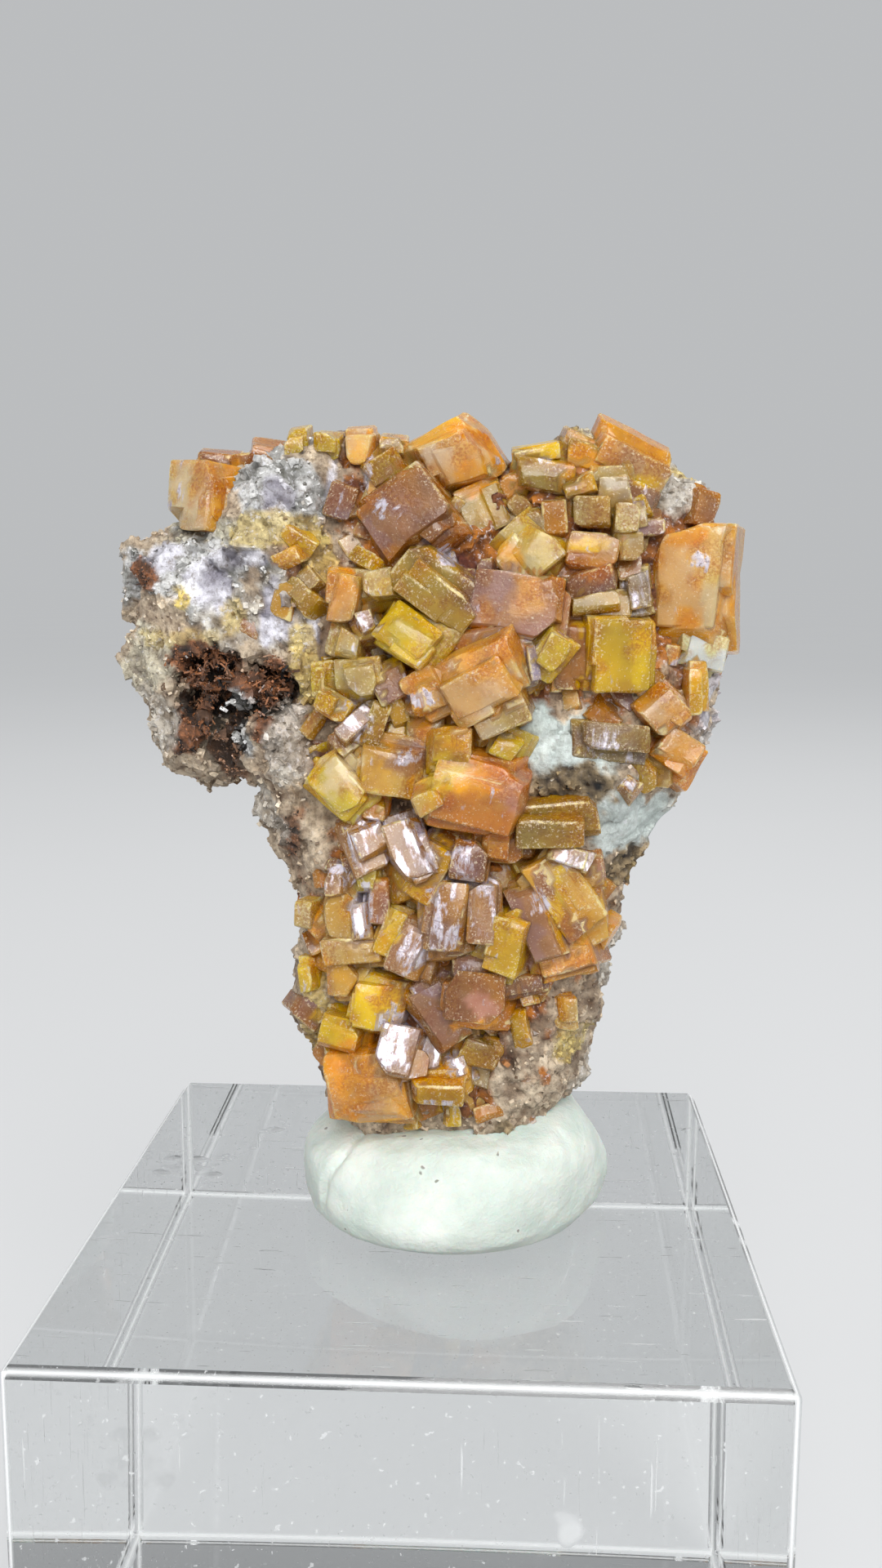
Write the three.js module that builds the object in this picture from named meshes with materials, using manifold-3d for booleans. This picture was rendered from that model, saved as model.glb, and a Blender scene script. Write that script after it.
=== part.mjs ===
// Wulfenite specimen: blocky honey, orange and yellow crystals grown over a pale, pitted rock,
// set with a pad of putty on a clear acrylic block. Millimetres, +Z up, seen from -Y.
import * as THREE from "three";
import { ConvexGeometry } from "three/addons/geometries/ConvexGeometry.js";
import { mergeVertices } from "three/addons/utils/BufferGeometryUtils.js";
import Module from "manifold-3d";

const wasm = await Module();
wasm.setup();

// Clear acrylic block, its underside on z = 0
const BLOCK_SIDE = 38.1;
const BLOCK_HEIGHT = 25.4;
const BLOCK_CORNER = 0.6;
const BLOCK_EDGE = 0.4;

// Putty pad
const PUTTY_MIDDLE = [1.8, 0.9];
const PUTTY_RADIUS = [9.3, 8.7];
const PUTTY_LIFT = 0.2;
const PUTTY_SIDES = 24;
// From the bottom to the middle of the top: share of the radius, and height
const PUTTY_PROFILE = [
  [0.88, 0.0],
  [0.97, 0.7],
  [1.0, 1.9],
  [0.97, 3.4],
  [0.9, 4.8],
  [0.79, 5.8],
  [0.64, 6.3],
  [0.36, 6.4],
];
// How much the rim rises to the right and sinks to the left
const PUTTY_RISE = 0.9;
const PUTTY_DENT = 0.35;

// Rock: its outline seen from the front, its reach forwards and backwards, and how round its edge is
const ROCK_OUTLINE = [
  [-15.2, 40.2], [-16.9, 39.1], [-17.1, 36.2], [-16.1, 34.3], [-17.0, 32.5], [-15.8, 30.0],
  [-15.6, 28.2], [-15.0, 26.5], [-12.4, 25.1], [-10.2, 25.8], [-9.4, 25.2], [-9.9, 24.1],
  [-8.6, 21.6], [-7.2, 19.0], [-7.0, 17.2], [-7.7, 14.6], [-7.8, 11.5], [-7.0, 10.6],
  [-5.9, 7.1], [-4.2, 4.6], [-3.4, 2.4], [6.4, 2.4], [8.0, 5.6], [9.8, 8.0], [10.6, 11.6],
  [11.3, 15.4], [12.1, 19.6], [12.9, 21.8], [14.3, 23.8], [15.6, 26.4], [16.9, 29.2],
  [17.4, 32.8], [16.7, 35.0], [16.2, 38.4], [16.1, 42.2], [13.2, 44.1], [10.8, 45.3],
  [9.0, 45.8], [5.3, 44.3], [2.1, 44.6], [-1.5, 45.2], [-3.8, 45.7], [-6.8, 45.4],
  [-9.9, 44.5], [-11.8, 42.4], [-12.8, 40.8],
];
const ROCK_FRONT = 5.1;
const ROCK_BACK = 6.2;
// It reaches less far forwards behind the crystals, from this x on, over this width
const CRUST_FRONT = 3.5;
const CRUST_START = -7.5;
const CRUST_BLEND = 3;
const ROCK_EDGE = 4.6;
const ROCK_LUMP = 0.13;
const ROCK_CELL = 2.0;
const ROCK_LOW = [-20, -8.3, -0.5];
const ROCK_HIGH = [20, 9, 49];
// Hollow in the rock's left lobe: middle and radii of the rounded spaces that make it
const HOLLOW = [
  [-10.7, -4.6, 31.3, 2.6, 4.0, 2.5],
  [-8.3, -5.0, 31.2, 2.2, 3.0, 1.6],
  [-10.7, -4.8, 28.3, 1.5, 3.2, 2.2],
];
// Bulges of the rock's front: middle (x, z), radii and height
const BULGES = [
  [9.5, 26.5, 4.0, 4.0, 1.8],
  [7.0, 9.6, 4.0, 6.0, 1.3],
  [1.5, 30.5, 6.5, 7.5, 1.4],
  [1.0, 16.0, 5.0, 8.0, 1.0],
];

// Gap that neighbouring pieces keep
const GAP = 0.3;
// Edges shorter than this are closed up after a cut
const SLIVER = 0.02;
// Flat that breaks the front edges of crystals wider than this
const CRYSTAL_BEVEL = 0.22;
const BROAD_CRYSTAL = 1.9;
// Share of a side that is cut off at the corners of crystals wider than this
const CRYSTAL_CORNER = 0.16;
const LARGE_CRYSTAL = 3.3;

// Each crystal: name, middle of its front face (x, y, z), width, height, depth,
// degrees it is turned to the left, upwards and anticlockwise, colour
const CRYSTALS = {
  peak_crystals: [
    ["peak", 2.1, -4.2, 43.2, 4.0, 3.2, 4.0, 4, -16, 22, "peach"],
    ["peak_lower", 3.6, -3.8, 41.3, 2.9, 2.9, 3.4, -6, 6, 24, "olive"],
    ["big_brown", -0.5, -5.6, 40.7, 3.9, 4.3, 4.0, 8, 6, -53, "brown"],
    ["peak_side", -1.5, -4.4, 43.1, 2.3, 1.8, 3.4, -10, -6, 32, "olive"],
    ["knob_gold", -1.4, -3.4, 44.3, 1.4, 1.1, 3.0, 0, -10, -6, "gold"],
  ],
  upper_right_crystals: [
    ["yellow_slab", 6.9, -4.2, 42.5, 3.4, 1.9, 3.4, 0, -14, -8, "olive"],
    ["red_hollow", 5.3, -3.6, 42.3, 1.7, 1.6, 3.0, 10, 0, 28, "deep"],
    ["olive_slab", 8.9, -3.3, 43.8, 2.2, 1.7, 3.4, 0, -6, -20, "olive"],
    ["sun_slab", 11.6, -3.2, 43.4, 4.2, 1.7, 3.6, -6, -14, -26, "orange"],
    ["lemon_chip", 6.4, -3.3, 43.9, 2.6, 0.9, 3.0, 0, -10, 10, "lemon"],
    ["yellow_knot", 8.7, -4.4, 42.2, 1.9, 1.6, 2.8, 4, 4, 18, "gold"],
    ["tan_step", 10.4, -4.0, 42.6, 2.1, 1.5, 3.0, -6, -8, 4, "tan"],
    ["mauve_slab", 11.9, -3.9, 41.6, 2.6, 1.8, 3.2, -8, 0, -24, "mauve"],
    ["tan_block", 9.3, -4.9, 40.8, 2.1, 1.9, 3.3, 8, -6, 0, "tan"],
    ["pale_square", 11.2, -5.0, 40.6, 1.3, 1.7, 3.4, -6, 4, 0, "straw"],
    ["niche_mauve", 12.5, -4.2, 40.1, 1.5, 1.0, 2.6, -4, 0, 0, "mauve"],
    ["amber_post", 7.4, -4.4, 40.5, 1.3, 2.3, 3.0, 10, 0, 2, "amber"],
    ["tan_lower", 11.4, -4.8, 39.1, 1.6, 1.6, 3.2, -8, 0, 0, "tan"],
    ["amber_slab", 9.4, -5.2, 38.8, 2.9, 2.0, 3.6, 0, 8, -6, "amber"],
    ["mauve_leaf", 9.3, -5.2, 37.1, 2.7, 1.5, 3.6, 6, -20, 18, "mauve"],
    ["olive_leaf", 9.6, -5.4, 36.2, 2.6, 1.2, 3.8, 0, 14, 6, "olive"],
    ["glass_nub", 12.0, -5.0, 36.8, 1.4, 2.0, 3.4, -6, 6, 12, "grey"],
    ["brown_end", 15.6, -2.8, 41.2, 1.6, 2.2, 3.0, -16, 0, -14, "brown"],
  ],
  right_edge_crystal: [
    ["right_edge", 14.6, -4.2, 37.0, 4.3, 6.6, 4.8, 15, 0, -2, "peach"],
  ],
  yellow_square_crystals: [
    ["yellow_square", 11.1, -6.0, 33.3, 3.3, 4.0, 4.6, -12, -4, -2, "yellow"],
    ["brown_neighbour", 8.6, -5.2, 33.5, 2.4, 4.0, 4.2, 8, 0, 0, "brown"],
  ],
  centre_crystals: [
    ["centre_mauve", 5.3, -6.4, 35.9, 4.8, 3.8, 4.8, 4, 4, -8, "rose"],
    ["straw_roof", 6.1, -5.8, 38.7, 3.3, 2.9, 4.2, 2, 6, 42, "straw"],
    ["orange_wedge", 3.5, -6.2, 33.9, 3.6, 1.7, 4.6, 6, -14, 10, "deep"],
    ["yellow_chip", 7.4, -6.8, 33.5, 1.4, 2.1, 5.2, -4, 4, -32, "lemon"],
    ["brown_foot", 5.6, -5.8, 32.6, 1.3, 1.8, 4.2, 4, 0, 0, "brown"],
    ["lilac_flake", 6.4, -6.4, 33.0, 0.6, 2.2, 4.8, -22, 10, 8, "lilac"],
  ],
  left_front_crystals: [
    ["olive_bar", 1.3, -6.8, 36.2, 4.4, 2.0, 5.2, 4, -14, -38, "olive"],
    ["lemon_block", -0.3, -7.2, 34.6, 3.4, 2.4, 5.6, 4, 8, -35, "lemon"],
    ["pale_face", -1.8, -6.2, 37.2, 2.1, 1.6, 4.6, 10, 14, 8, "straw"],
    ["pale_rhomb", -2.5, -6.2, 35.2, 0.9, 1.2, 4.6, -6, 22, 20, "silver"],
    ["red_rough", -3.9, -5.8, 36.3, 2.0, 2.9, 4.2, 12, 4, -8, "orange"],
    ["straw_upper", -3.7, -6.2, 34.0, 1.6, 1.5, 4.6, 8, 6, -14, "straw"],
    ["straw_lower", -2.8, -6.8, 32.2, 1.7, 2.0, 5.2, 2, 4, 12, "straw"],
    ["mauve_corner", -1.2, -6.2, 32.0, 2.1, 2.5, 4.6, -8, 6, 26, "mauve"],
    ["yellow_cube", -4.7, -6.4, 30.8, 1.3, 1.1, 4.8, 14, 4, -24, "yellow"],
    ["lemon_post", -5.2, -5.8, 31.9, 0.9, 1.6, 4.2, 10, 0, 0, "lemon"],
  ],
  big_orange_crystals: [
    ["big_orange", 3.3, -8.0, 31.4, 4.0, 2.6, 6.4, 12, -18, 29, "peach"],
    ["orange_step", 4.6, -7.4, 30.3, 3.3, 1.8, 5.8, 4, -4, 26, "tan"],
    ["orange_side", 0.7, -7.0, 31.5, 2.5, 2.4, 5.4, 20, 0, 24, "orange"],
    ["gold_under", 1.8, -7.2, 28.3, 2.6, 2.8, 5.6, 4, 2, 2, "gold"],
    ["yellow_foot", 5.0, -6.8, 28.6, 1.6, 1.5, 5.2, -4, 4, -28, "lemon"],
  ],
  yellow_rhomb_crystals: [
    ["yellow_rhomb", -4.0, -7.0, 26.4, 3.1, 2.4, 5.4, 8, 4, -45, "lemon"],
    ["honey_block", -1.2, -6.8, 27.3, 3.7, 2.8, 5.2, 4, 4, -8, "honey"],
    ["olive_post", -2.0, -6.2, 29.6, 1.1, 2.6, 4.6, -6, 0, -14, "olive"],
    ["silver_bar", -3.0, -6.4, 29.9, 2.5, 1.2, 4.8, -6, 24, 42, "silver"],
    ["red_gap", -2.1, -6.0, 25.1, 1.4, 1.3, 4.4, 0, 6, -8, "deep"],
  ],
  lower_orange_crystals: [
    ["lower_orange", 3.5, -7.6, 26.0, 5.2, 3.6, 6.0, 4, -8, -14, "deep"],
    ["tan_ear", 0.8, -7.6, 25.7, 1.8, 1.2, 6.0, 14, -6, 32, "honey"],
    ["amber_drop", 4.4, -6.8, 23.1, 1.7, 1.8, 5.2, 2, -6, -8, "amber"],
  ],
  shiny_prisms: [
    ["silver_tall", -0.1, -6.8, 23.0, 2.4, 3.4, 5.2, -6, 22, 16, "silver"],
    ["silver_left", -2.3, -6.6, 23.6, 1.8, 2.1, 5.0, -6, 24, 22, "silver"],
    ["gold_ridge", 0.8, -6.6, 21.7, 1.8, 3.7, 5.0, 10, 8, -28, "gold"],
    ["grey_cap", 3.0, -7.0, 22.5, 1.9, 2.4, 5.4, 6, 10, -4, "mauve"],
    ["prism_left", 1.7, -7.2, 19.5, 2.3, 3.7, 5.6, 8, 12, -2, "silver"],
    ["prism_right", 3.9, -7.0, 19.6, 2.0, 3.3, 5.4, -8, 12, -6, "silver"],
    ["prism_low", -0.1, -6.6, 17.7, 2.1, 3.6, 5.0, 6, 16, -20, "silver"],
  ],
  right_lower_crystals: [
    ["honey_plank", 8.4, -6.6, 20.4, 2.7, 5.2, 5.0, -6, 4, 28, "honey"],
    ["rose_side", 6.7, -6.4, 19.1, 2.6, 4.9, 4.8, 16, 8, 22, "rose"],
    ["orange_heel", 8.3, -6.2, 17.0, 2.9, 1.6, 4.6, -4, 12, 14, "orange"],
    ["olive_lid", 7.3, -7.0, 23.9, 3.8, 1.6, 5.4, 0, -12, 0, "olive"],
    ["silver_wedge", 8.3, -6.6, 22.8, 2.0, 1.0, 5.0, -8, 22, -20, "silver"],
    ["side_rose", 9.8, -5.4, 21.5, 1.2, 2.1, 3.8, -8, 0, 6, "rose"],
    ["small_yellow", 5.0, -7.2, 17.8, 2.0, 3.1, 5.6, 6, 2, -14, "yellow"],
  ],
  orange_pair_crystals: [
    ["pair_upper", 13.3, -5.4, 30.5, 2.2, 2.8, 3.8, -6, 8, 38, "orange"],
    ["pair_lower", 14.3, -5.0, 28.3, 2.4, 2.1, 3.6, -10, 10, -34, "orange"],
    ["grey_prism", 10.8, -6.2, 29.1, 3.7, 1.6, 4.6, 0, 8, -4, "grey"],
  ],
  left_column_crystals: [
    ["honey_panel", -4.1, -5.4, 19.0, 1.9, 2.6, 3.8, 10, 4, 0, "honey"],
    ["pale_cap", -4.3, -5.6, 20.8, 1.4, 1.3, 4.0, 6, 22, 0, "silver"],
    ["silver_slip", -3.0, -5.8, 18.8, 1.2, 2.1, 4.2, 4, 20, 8, "silver"],
    ["rose_post", -1.9, -6.0, 20.0, 1.3, 2.8, 4.4, 2, 4, -4, "rose"],
    ["lemon_tip", -2.6, -6.0, 21.6, 1.1, 1.9, 4.4, 6, 4, 0, "lemon"],
    ["honey_sill", -3.5, -5.8, 17.1, 3.5, 1.7, 4.2, 8, 2, 8, "honey"],
    ["gold_blade", -1.3, -6.2, 18.3, 1.2, 2.8, 4.6, -4, 8, -24, "gold"],
    ["honey_low", -4.1, -5.4, 15.4, 1.9, 2.0, 3.8, 10, 6, 0, "honey"],
  ],
  bottom_crystals: [
    ["gold_facet", -2.3, -6.2, 14.0, 2.4, 2.6, 4.6, 6, 4, -6, "gold"],
    ["gold_corner", -4.3, -5.6, 12.1, 2.5, 2.0, 4.0, 14, 4, -8, "gold"],
    ["silver_fan", -0.6, -6.4, 11.7, 3.1, 3.0, 4.8, -6, 22, -12, "silver"],
    ["big_base", -2.7, -6.0, 9.1, 4.2, 4.2, 4.6, 8, -2, 8, "orange"],
    ["mauve_panel", 1.3, -5.8, 13.5, 2.3, 4.5, 4.2, -6, 6, 32, "mauve"],
    ["brown_cube", 3.3, -6.8, 14.9, 3.5, 2.9, 5.2, 6, 6, -4, "brown"],
    ["sill_tan", 3.1, -6.2, 16.6, 2.0, 1.6, 4.6, 4, 6, 0, "mauve"],
    ["sill_mauve", 5.8, -6.0, 15.4, 2.7, 1.1, 4.4, 0, 4, 8, "mauve"],
    ["olive_base", 3.7, -5.6, 11.3, 2.3, 2.2, 4.0, 0, 10, -20, "olive"],
    ["bottom_gold", 1.3, -6.4, 9.1, 3.2, 1.4, 4.8, 4, -20, 0, "gold"],
    ["white_tri", 2.4, -6.0, 10.5, 1.4, 1.6, 4.4, -6, 22, 20, "silver"],
  ],
  upper_left_crystals: [
    ["upper_left", -12.5, -3.3, 42.0, 3.8, 3.9, 3.8, 38, 8, -4, "peach"],
    ["brown_back", -9.5, -1.6, 43.2, 1.8, 2.1, 3.4, -8, 0, 12, "brown"],
    ["back_peach", -11.3, -0.8, 43.7, 2.5, 1.2, 3.0, -8, -10, -4, "brown"],
  ],
};

// Small crystals that are one with the rock, in the same form
const ROCK_CRYSTALS = [
  ["rim_point", -15.2, -3.2, 32.8, 2.8, 2.8, 4.6, 12, 0, 44, "stone"],
  ["corner_block", -15.3, -2.8, 37.4, 2.2, 3.8, 3.4, 16, 4, 4, "stone"],
  ["calcite_lump", 15.6, -3.8, 33.6, 3.0, 2.1, 4.0, -12, 4, -14, "calcite"],
  ["knob_peach", -3.1, -3.6, 44.2, 1.5, 1.8, 3.0, 4, -6, 0, "peach"],
  ["cap_green", -5.0, -3.4, 44.5, 1.3, 1.1, 3.0, 0, -10, -4, "lemon"],
  ["cap_lemon", -6.7, -3.2, 44.4, 1.1, 1.1, 3.0, 0, -10, 6, "lemon"],
  ["crest_brown", -8.4, -2.6, 43.6, 2.3, 1.2, 3.0, -6, -10, -14, "brown"],
  ["yellow_bud", -8.7, -3.4, 41.4, 1.2, 1.3, 2.6, 4, 4, 0, "lemon"],
  ["rock_olive", -7.2, -5.0, 36.3, 1.4, 2.3, 3.4, 8, 0, -14, "honey"],
  ["rock_orange", -9.7, -4.6, 35.1, 1.1, 1.7, 3.0, 10, 0, -20, "orange"],
  ["rock_lemon", -12.8, -4.0, 36.3, 0.9, 1.2, 2.4, 10, 4, 20, "lemon"],
  ["rock_plate", -8.6, -5.0, 34.9, 1.7, 1.5, 3.4, -6, 22, -30, "silver"],
  ["side_gold", 15.1, -4.6, 31.4, 0.8, 2.5, 3.0, -8, 0, 0, "gold"],
  ["white_rhomb", 11.6, -6.2, 26.6, 0.7, 0.7, 4.6, -6, 22, 45, "silver"],
  ["flank_honey", 8.6, -4.6, 13.6, 1.1, 1.6, 3.0, -10, 6, 0, "honey"],
  ["flank_lemon", -6.4, -4.0, 14.9, 1.0, 1.8, 2.6, 16, 0, 10, "lemon"],
  ["flank_pale", -6.4, -4.2, 18.7, 1.1, 1.7, 2.6, 16, 6, 0, "straw"],
];

// Crystals on the back, the same form; they face +Y, so they are turned half round
const BACK_CRYSTALS = [
  ["back_slab", 6.2, 7.4, 37.6, 4.0, 3.2, 3.4, 176, 4, 24, "orange"],
  ["back_block", 1.2, 7.8, 34.2, 3.0, 3.4, 3.4, 186, -6, -12, "honey"],
  ["back_plate", 10.4, 7.0, 33.0, 2.8, 2.4, 3.2, 168, 8, 40, "brown"],
  ["back_small", -4.6, 7.6, 38.8, 2.0, 1.8, 3.0, 182, 6, -30, "lemon"],
  ["back_low", 3.4, 7.4, 22.6, 2.6, 3.0, 3.2, 178, -4, 10, "gold"],
  ["back_left", -10.6, 6.8, 35.4, 2.2, 2.6, 3.0, 194, 4, 18, "tan"],
  ["back_chip", 7.6, 6.8, 26.4, 1.8, 1.6, 2.8, 172, 0, -36, "lemon"],
];

// Face colour of each piece
const COLOURS = {
  matrix: 0xbdb3a4,
  peak_crystals: 0xc98b4c,
  upper_right_crystals: 0xc39a3f,
  right_edge_crystal: 0xd0964a,
  yellow_square_crystals: 0xc39b34,
  centre_crystals: 0xb57e52,
  left_front_crystals: 0xb49a31,
  big_orange_crystals: 0xcb9148,
  yellow_rhomb_crystals: 0xb9974a,
  lower_orange_crystals: 0xc47a2e,
  shiny_prisms: 0xb3a093,
  right_lower_crystals: 0xbd8c45,
  orange_pair_crystals: 0xb97a3a,
  left_column_crystals: 0xc0a054,
  bottom_crystals: 0xc08a3c,
  upper_left_crystals: 0xd0a66a,
  putty: 0xcfdcd3,
  acrylic_block: 0xd9dcdb,
};

// Solids

function solidFrom(positions, triangles, tolerance = 0) {
  return new wasm.Manifold(
    new wasm.Mesh({
      numProp: 3,
      vertProperties: new Float32Array(positions),
      triVerts: new Uint32Array(triangles),
      tolerance,
    }),
  );
}

function joined(solids) {
  return solids.reduce((whole, one) => whole.add(one));
}

// The biggest connected piece of a solid, without the crumbs and slivers that a cut leaves
function biggestPiece(solid) {
  const mesh = solid.getMesh();
  const owner = Array.from({ length: mesh.numVert }, (_, i) => i);
  const find = (i) => {
    while (owner[i] !== i) i = owner[i] = owner[owner[i]];
    return i;
  };
  const corners = mesh.triVerts;
  for (let t = 0; t < corners.length; t += 3) {
    owner[find(corners[t + 1])] = find(corners[t]);
    owner[find(corners[t + 2])] = find(corners[t]);
  }
  const counts = new Map();
  for (let t = 0; t < corners.length; t += 3) {
    const piece = find(corners[t]);
    counts.set(piece, (counts.get(piece) || 0) + 1);
  }
  const biggest = [...counts].sort((a, b) => b[1] - a[1])[0][0];
  const kept = [];
  for (let t = 0; t < corners.length; t += 3)
    if (find(corners[t]) === biggest) kept.push(...corners.subarray(t, t + 3));
  return solidFrom(mesh.vertProperties, kept, SLIVER);
}

function geometryOf(solid) {
  const mesh = solid.getMesh();
  const geometry = new THREE.BufferGeometry();
  geometry.setAttribute("position", new THREE.BufferAttribute(mesh.vertProperties, 3));
  geometry.setIndex(new THREE.BufferAttribute(mesh.triVerts, 1));
  geometry.computeVertexNormals();
  return geometry;
}

// A closed solid from rings of points that all have the same number of points
function ringSolid(rings) {
  const count = rings[0].length;
  const positions = rings.flat().flatMap((p) => [p.x, p.y, p.z]);
  const triangles = [];
  for (let r = 0; r + 1 < rings.length; r++)
    for (let i = 0; i < count; i++) {
      const a = r * count + i;
      const b = r * count + ((i + 1) % count);
      triangles.push(a, b, b + count, a, b + count, a + count);
    }
  const last = (rings.length - 1) * count;
  for (let i = 1; i + 1 < count; i++) {
    triangles.push(0, i + 1, i);
    triangles.push(last, last + i, last + i + 1);
  }
  return solidFrom(positions, triangles);
}

// Crystals

// Outline of a rectangle, with its corners cut off if cut is over 0, anticlockwise
function rectangle(width, height, cut) {
  const x = width / 2;
  const y = height / 2;
  if (!cut) return [[-x, -y], [x, -y], [x, y], [-x, y]];
  return [
    [-x + cut, -y], [x - cut, -y], [x, -y + cut], [x, y - cut],
    [x - cut, y], [-x + cut, y], [-x, y - cut], [-x, -y + cut],
  ];
}

// Where a crystal's own frame is: x to its right, y into it, z up its front face
function crystalFrame([, x, y, z, , , , left, up, turn]) {
  return new THREE.Matrix4()
    .makeTranslation(x, y, z)
    .multiply(new THREE.Matrix4().makeRotationZ(-THREE.MathUtils.degToRad(left)))
    .multiply(new THREE.Matrix4().makeRotationX(-THREE.MathUtils.degToRad(up)))
    .multiply(new THREE.Matrix4().makeRotationY(-THREE.MathUtils.degToRad(turn)));
}

// A block, with a broken front edge if it is broad and cut corners if it is large
function crystalSolid(row) {
  const [width, height, depth] = row.slice(4, 7);
  const small = Math.min(width, height);
  const cut = small > LARGE_CRYSTAL ? CRYSTAL_CORNER * small : 0;
  const frame = crystalFrame(row);
  const ring = (inset, back) =>
    rectangle(width - 2 * inset, height - 2 * inset, cut).map(([u, v]) =>
      new THREE.Vector3(u, back, v).applyMatrix4(frame),
    );
  if (small < BROAD_CRYSTAL) return ringSolid([ring(0, depth), ring(0, 0)]);
  return ringSolid([ring(0, depth), ring(0, CRYSTAL_BEVEL), ring(CRYSTAL_BEVEL, 0)]);
}

// The corners of the box that a crystal takes up, with the gap round it
function socketCorners(row) {
  const [width, height, depth] = row.slice(4, 7);
  const frame = crystalFrame(row);
  return [-GAP, depth + GAP].flatMap((back) =>
    rectangle(width + 2 * GAP, height + 2 * GAP, 0).map(([u, v]) =>
      new THREE.Vector3(u, back, v).applyMatrix4(frame),
    ),
  );
}

// The smallest convex solid round some points
function hullSolid(points) {
  const hull = new ConvexGeometry(points);
  hull.deleteAttribute("normal");
  const merged = mergeVertices(hull, 1e-4);
  return solidFrom(merged.attributes.position.array, merged.index.array);
}

// Rock

// Distance from (x, z) to the rock's outline, over 0 inside it
function insideOutline(x, z) {
  let nearest = Infinity;
  let inside = false;
  ROCK_OUTLINE.forEach(([x0, z0], i) => {
    const [x1, z1] = ROCK_OUTLINE[(i + 1) % ROCK_OUTLINE.length];
    const along = ((x - x0) * (x1 - x0) + (z - z0) * (z1 - z0)) / ((x1 - x0) ** 2 + (z1 - z0) ** 2);
    const t = Math.max(0, Math.min(1, along));
    nearest = Math.min(nearest, Math.hypot(x - x0 - t * (x1 - x0), z - z0 - t * (z1 - z0)));
    if (z0 > z !== z1 > z && x < x0 + ((z - z0) / (z1 - z0)) * (x1 - x0)) inside = !inside;
  });
  return inside ? nearest : -nearest;
}

// Lumps and ledges, between about -1 and 1
function lumps(x, y, z) {
  return (
    0.5 * Math.sin(0.9 * x + 0.5 * z + 0.4) * Math.sin(0.8 * z - 0.5 * y + 1.1) +
    0.3 * Math.sin(1.6 * x - 0.7 * y + 2.0) * Math.sin(1.4 * z + 0.8 * x) +
    0.2 * Math.sin(2.3 * z + 1.1 * y) * Math.sin(2.1 * x + 0.9 * z + 0.7)
  );
}

// How far the rock reaches along y from its middle plane
function rockReach(x, y, z) {
  if (y > 0) return ROCK_BACK;
  const share = Math.max(0, Math.min(1, (x - CRUST_START) / CRUST_BLEND));
  let reach = ROCK_FRONT + (CRUST_FRONT - ROCK_FRONT) * share;
  for (const [bx, bz, rx, rz, height] of BULGES)
    reach += height * Math.exp(-(((x - bx) / rx) ** 2) - ((z - bz) / rz) ** 2);
  return reach;
}

// Over 0 inside the rock, grown by so much all round
function rockField(x, y, z, grow) {
  const inside = Math.max(-1, Math.min(1, (insideOutline(x, z) + grow) / ROCK_EDGE));
  const reach = rockReach(x, y, z) + grow;
  let field = 1 - (1 - inside) ** 2 - (y / reach) ** 2 + ROCK_LUMP * lumps(x, y, z);
  for (const [hx, hy, hz, rx, ry, rz] of HOLLOW) {
    const out = Math.hypot((x - hx) / rx, (y - hy) / ry, (z - hz) / rz) - 1;
    field = Math.min(field, 0.8 * out);
  }
  return field;
}

// A closed surface where the field passes zero: one point in each cell it crosses
function skin(field, low, high, cell) {
  const counts = low.map((v, i) => Math.ceil((high[i] - v) / cell) + 1);
  const at = (i, j, k) => (k * counts[1] + j) * counts[0] + i;
  const values = new Float64Array(counts[0] * counts[1] * counts[2]);
  for (let k = 0; k < counts[2]; k++)
    for (let j = 0; j < counts[1]; j++)
      for (let i = 0; i < counts[0]; i++)
        values[at(i, j, k)] = field(low[0] + i * cell, low[1] + j * cell, low[2] + k * cell);

  const corner = [0, 1, 2, 3, 4, 5, 6, 7].map((c) => [c & 1, (c >> 1) & 1, (c >> 2) & 1]);
  const edges = [
    [0, 1], [2, 3], [4, 5], [6, 7], [0, 2], [1, 3],
    [4, 6], [5, 7], [0, 4], [1, 5], [2, 6], [3, 7],
  ];
  const positions = [];
  const pointOf = new Map();
  for (let k = 0; k + 1 < counts[2]; k++)
    for (let j = 0; j + 1 < counts[1]; j++)
      for (let i = 0; i + 1 < counts[0]; i++) {
        const v = corner.map(([a, b, c]) => values[at(i + a, j + b, k + c)]);
        const sum = [0, 0, 0];
        let crossings = 0;
        for (const [a, b] of edges) {
          if (v[a] > 0 === v[b] > 0) continue;
          const t = v[a] / (v[a] - v[b]);
          for (let n = 0; n < 3; n++) sum[n] += corner[a][n] + t * (corner[b][n] - corner[a][n]);
          crossings++;
        }
        if (!crossings) continue;
        pointOf.set(at(i, j, k), positions.length / 3);
        [i, j, k].forEach((n, axis) => positions.push(low[axis] + cell * (n + sum[axis] / crossings)));
      }

  const triangles = [];
  const steps = [at(1, 0, 0), at(0, 1, 0), at(0, 0, 1)];
  for (let k = 1; k + 1 < counts[2]; k++)
    for (let j = 1; j + 1 < counts[1]; j++)
      for (let i = 1; i + 1 < counts[0]; i++) {
        const here = at(i, j, k);
        for (let axis = 0; axis < 3; axis++) {
          const inside = values[here] > 0;
          if (inside === values[here + steps[axis]] > 0) continue;
          const u = steps[(axis + 1) % 3];
          const v = steps[(axis + 2) % 3];
          const quad = [here - u - v, here - v, here, here - u].map((n) => pointOf.get(n));
          if (!inside) quad.reverse();
          triangles.push(quad[0], quad[1], quad[2], quad[0], quad[2], quad[3]);
        }
      }
  return solidFrom(positions, triangles);
}

function rockBody(grow = 0) {
  return skin((x, y, z) => rockField(x, y, z, grow), ROCK_LOW, ROCK_HIGH, ROCK_CELL);
}

// Putty

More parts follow.
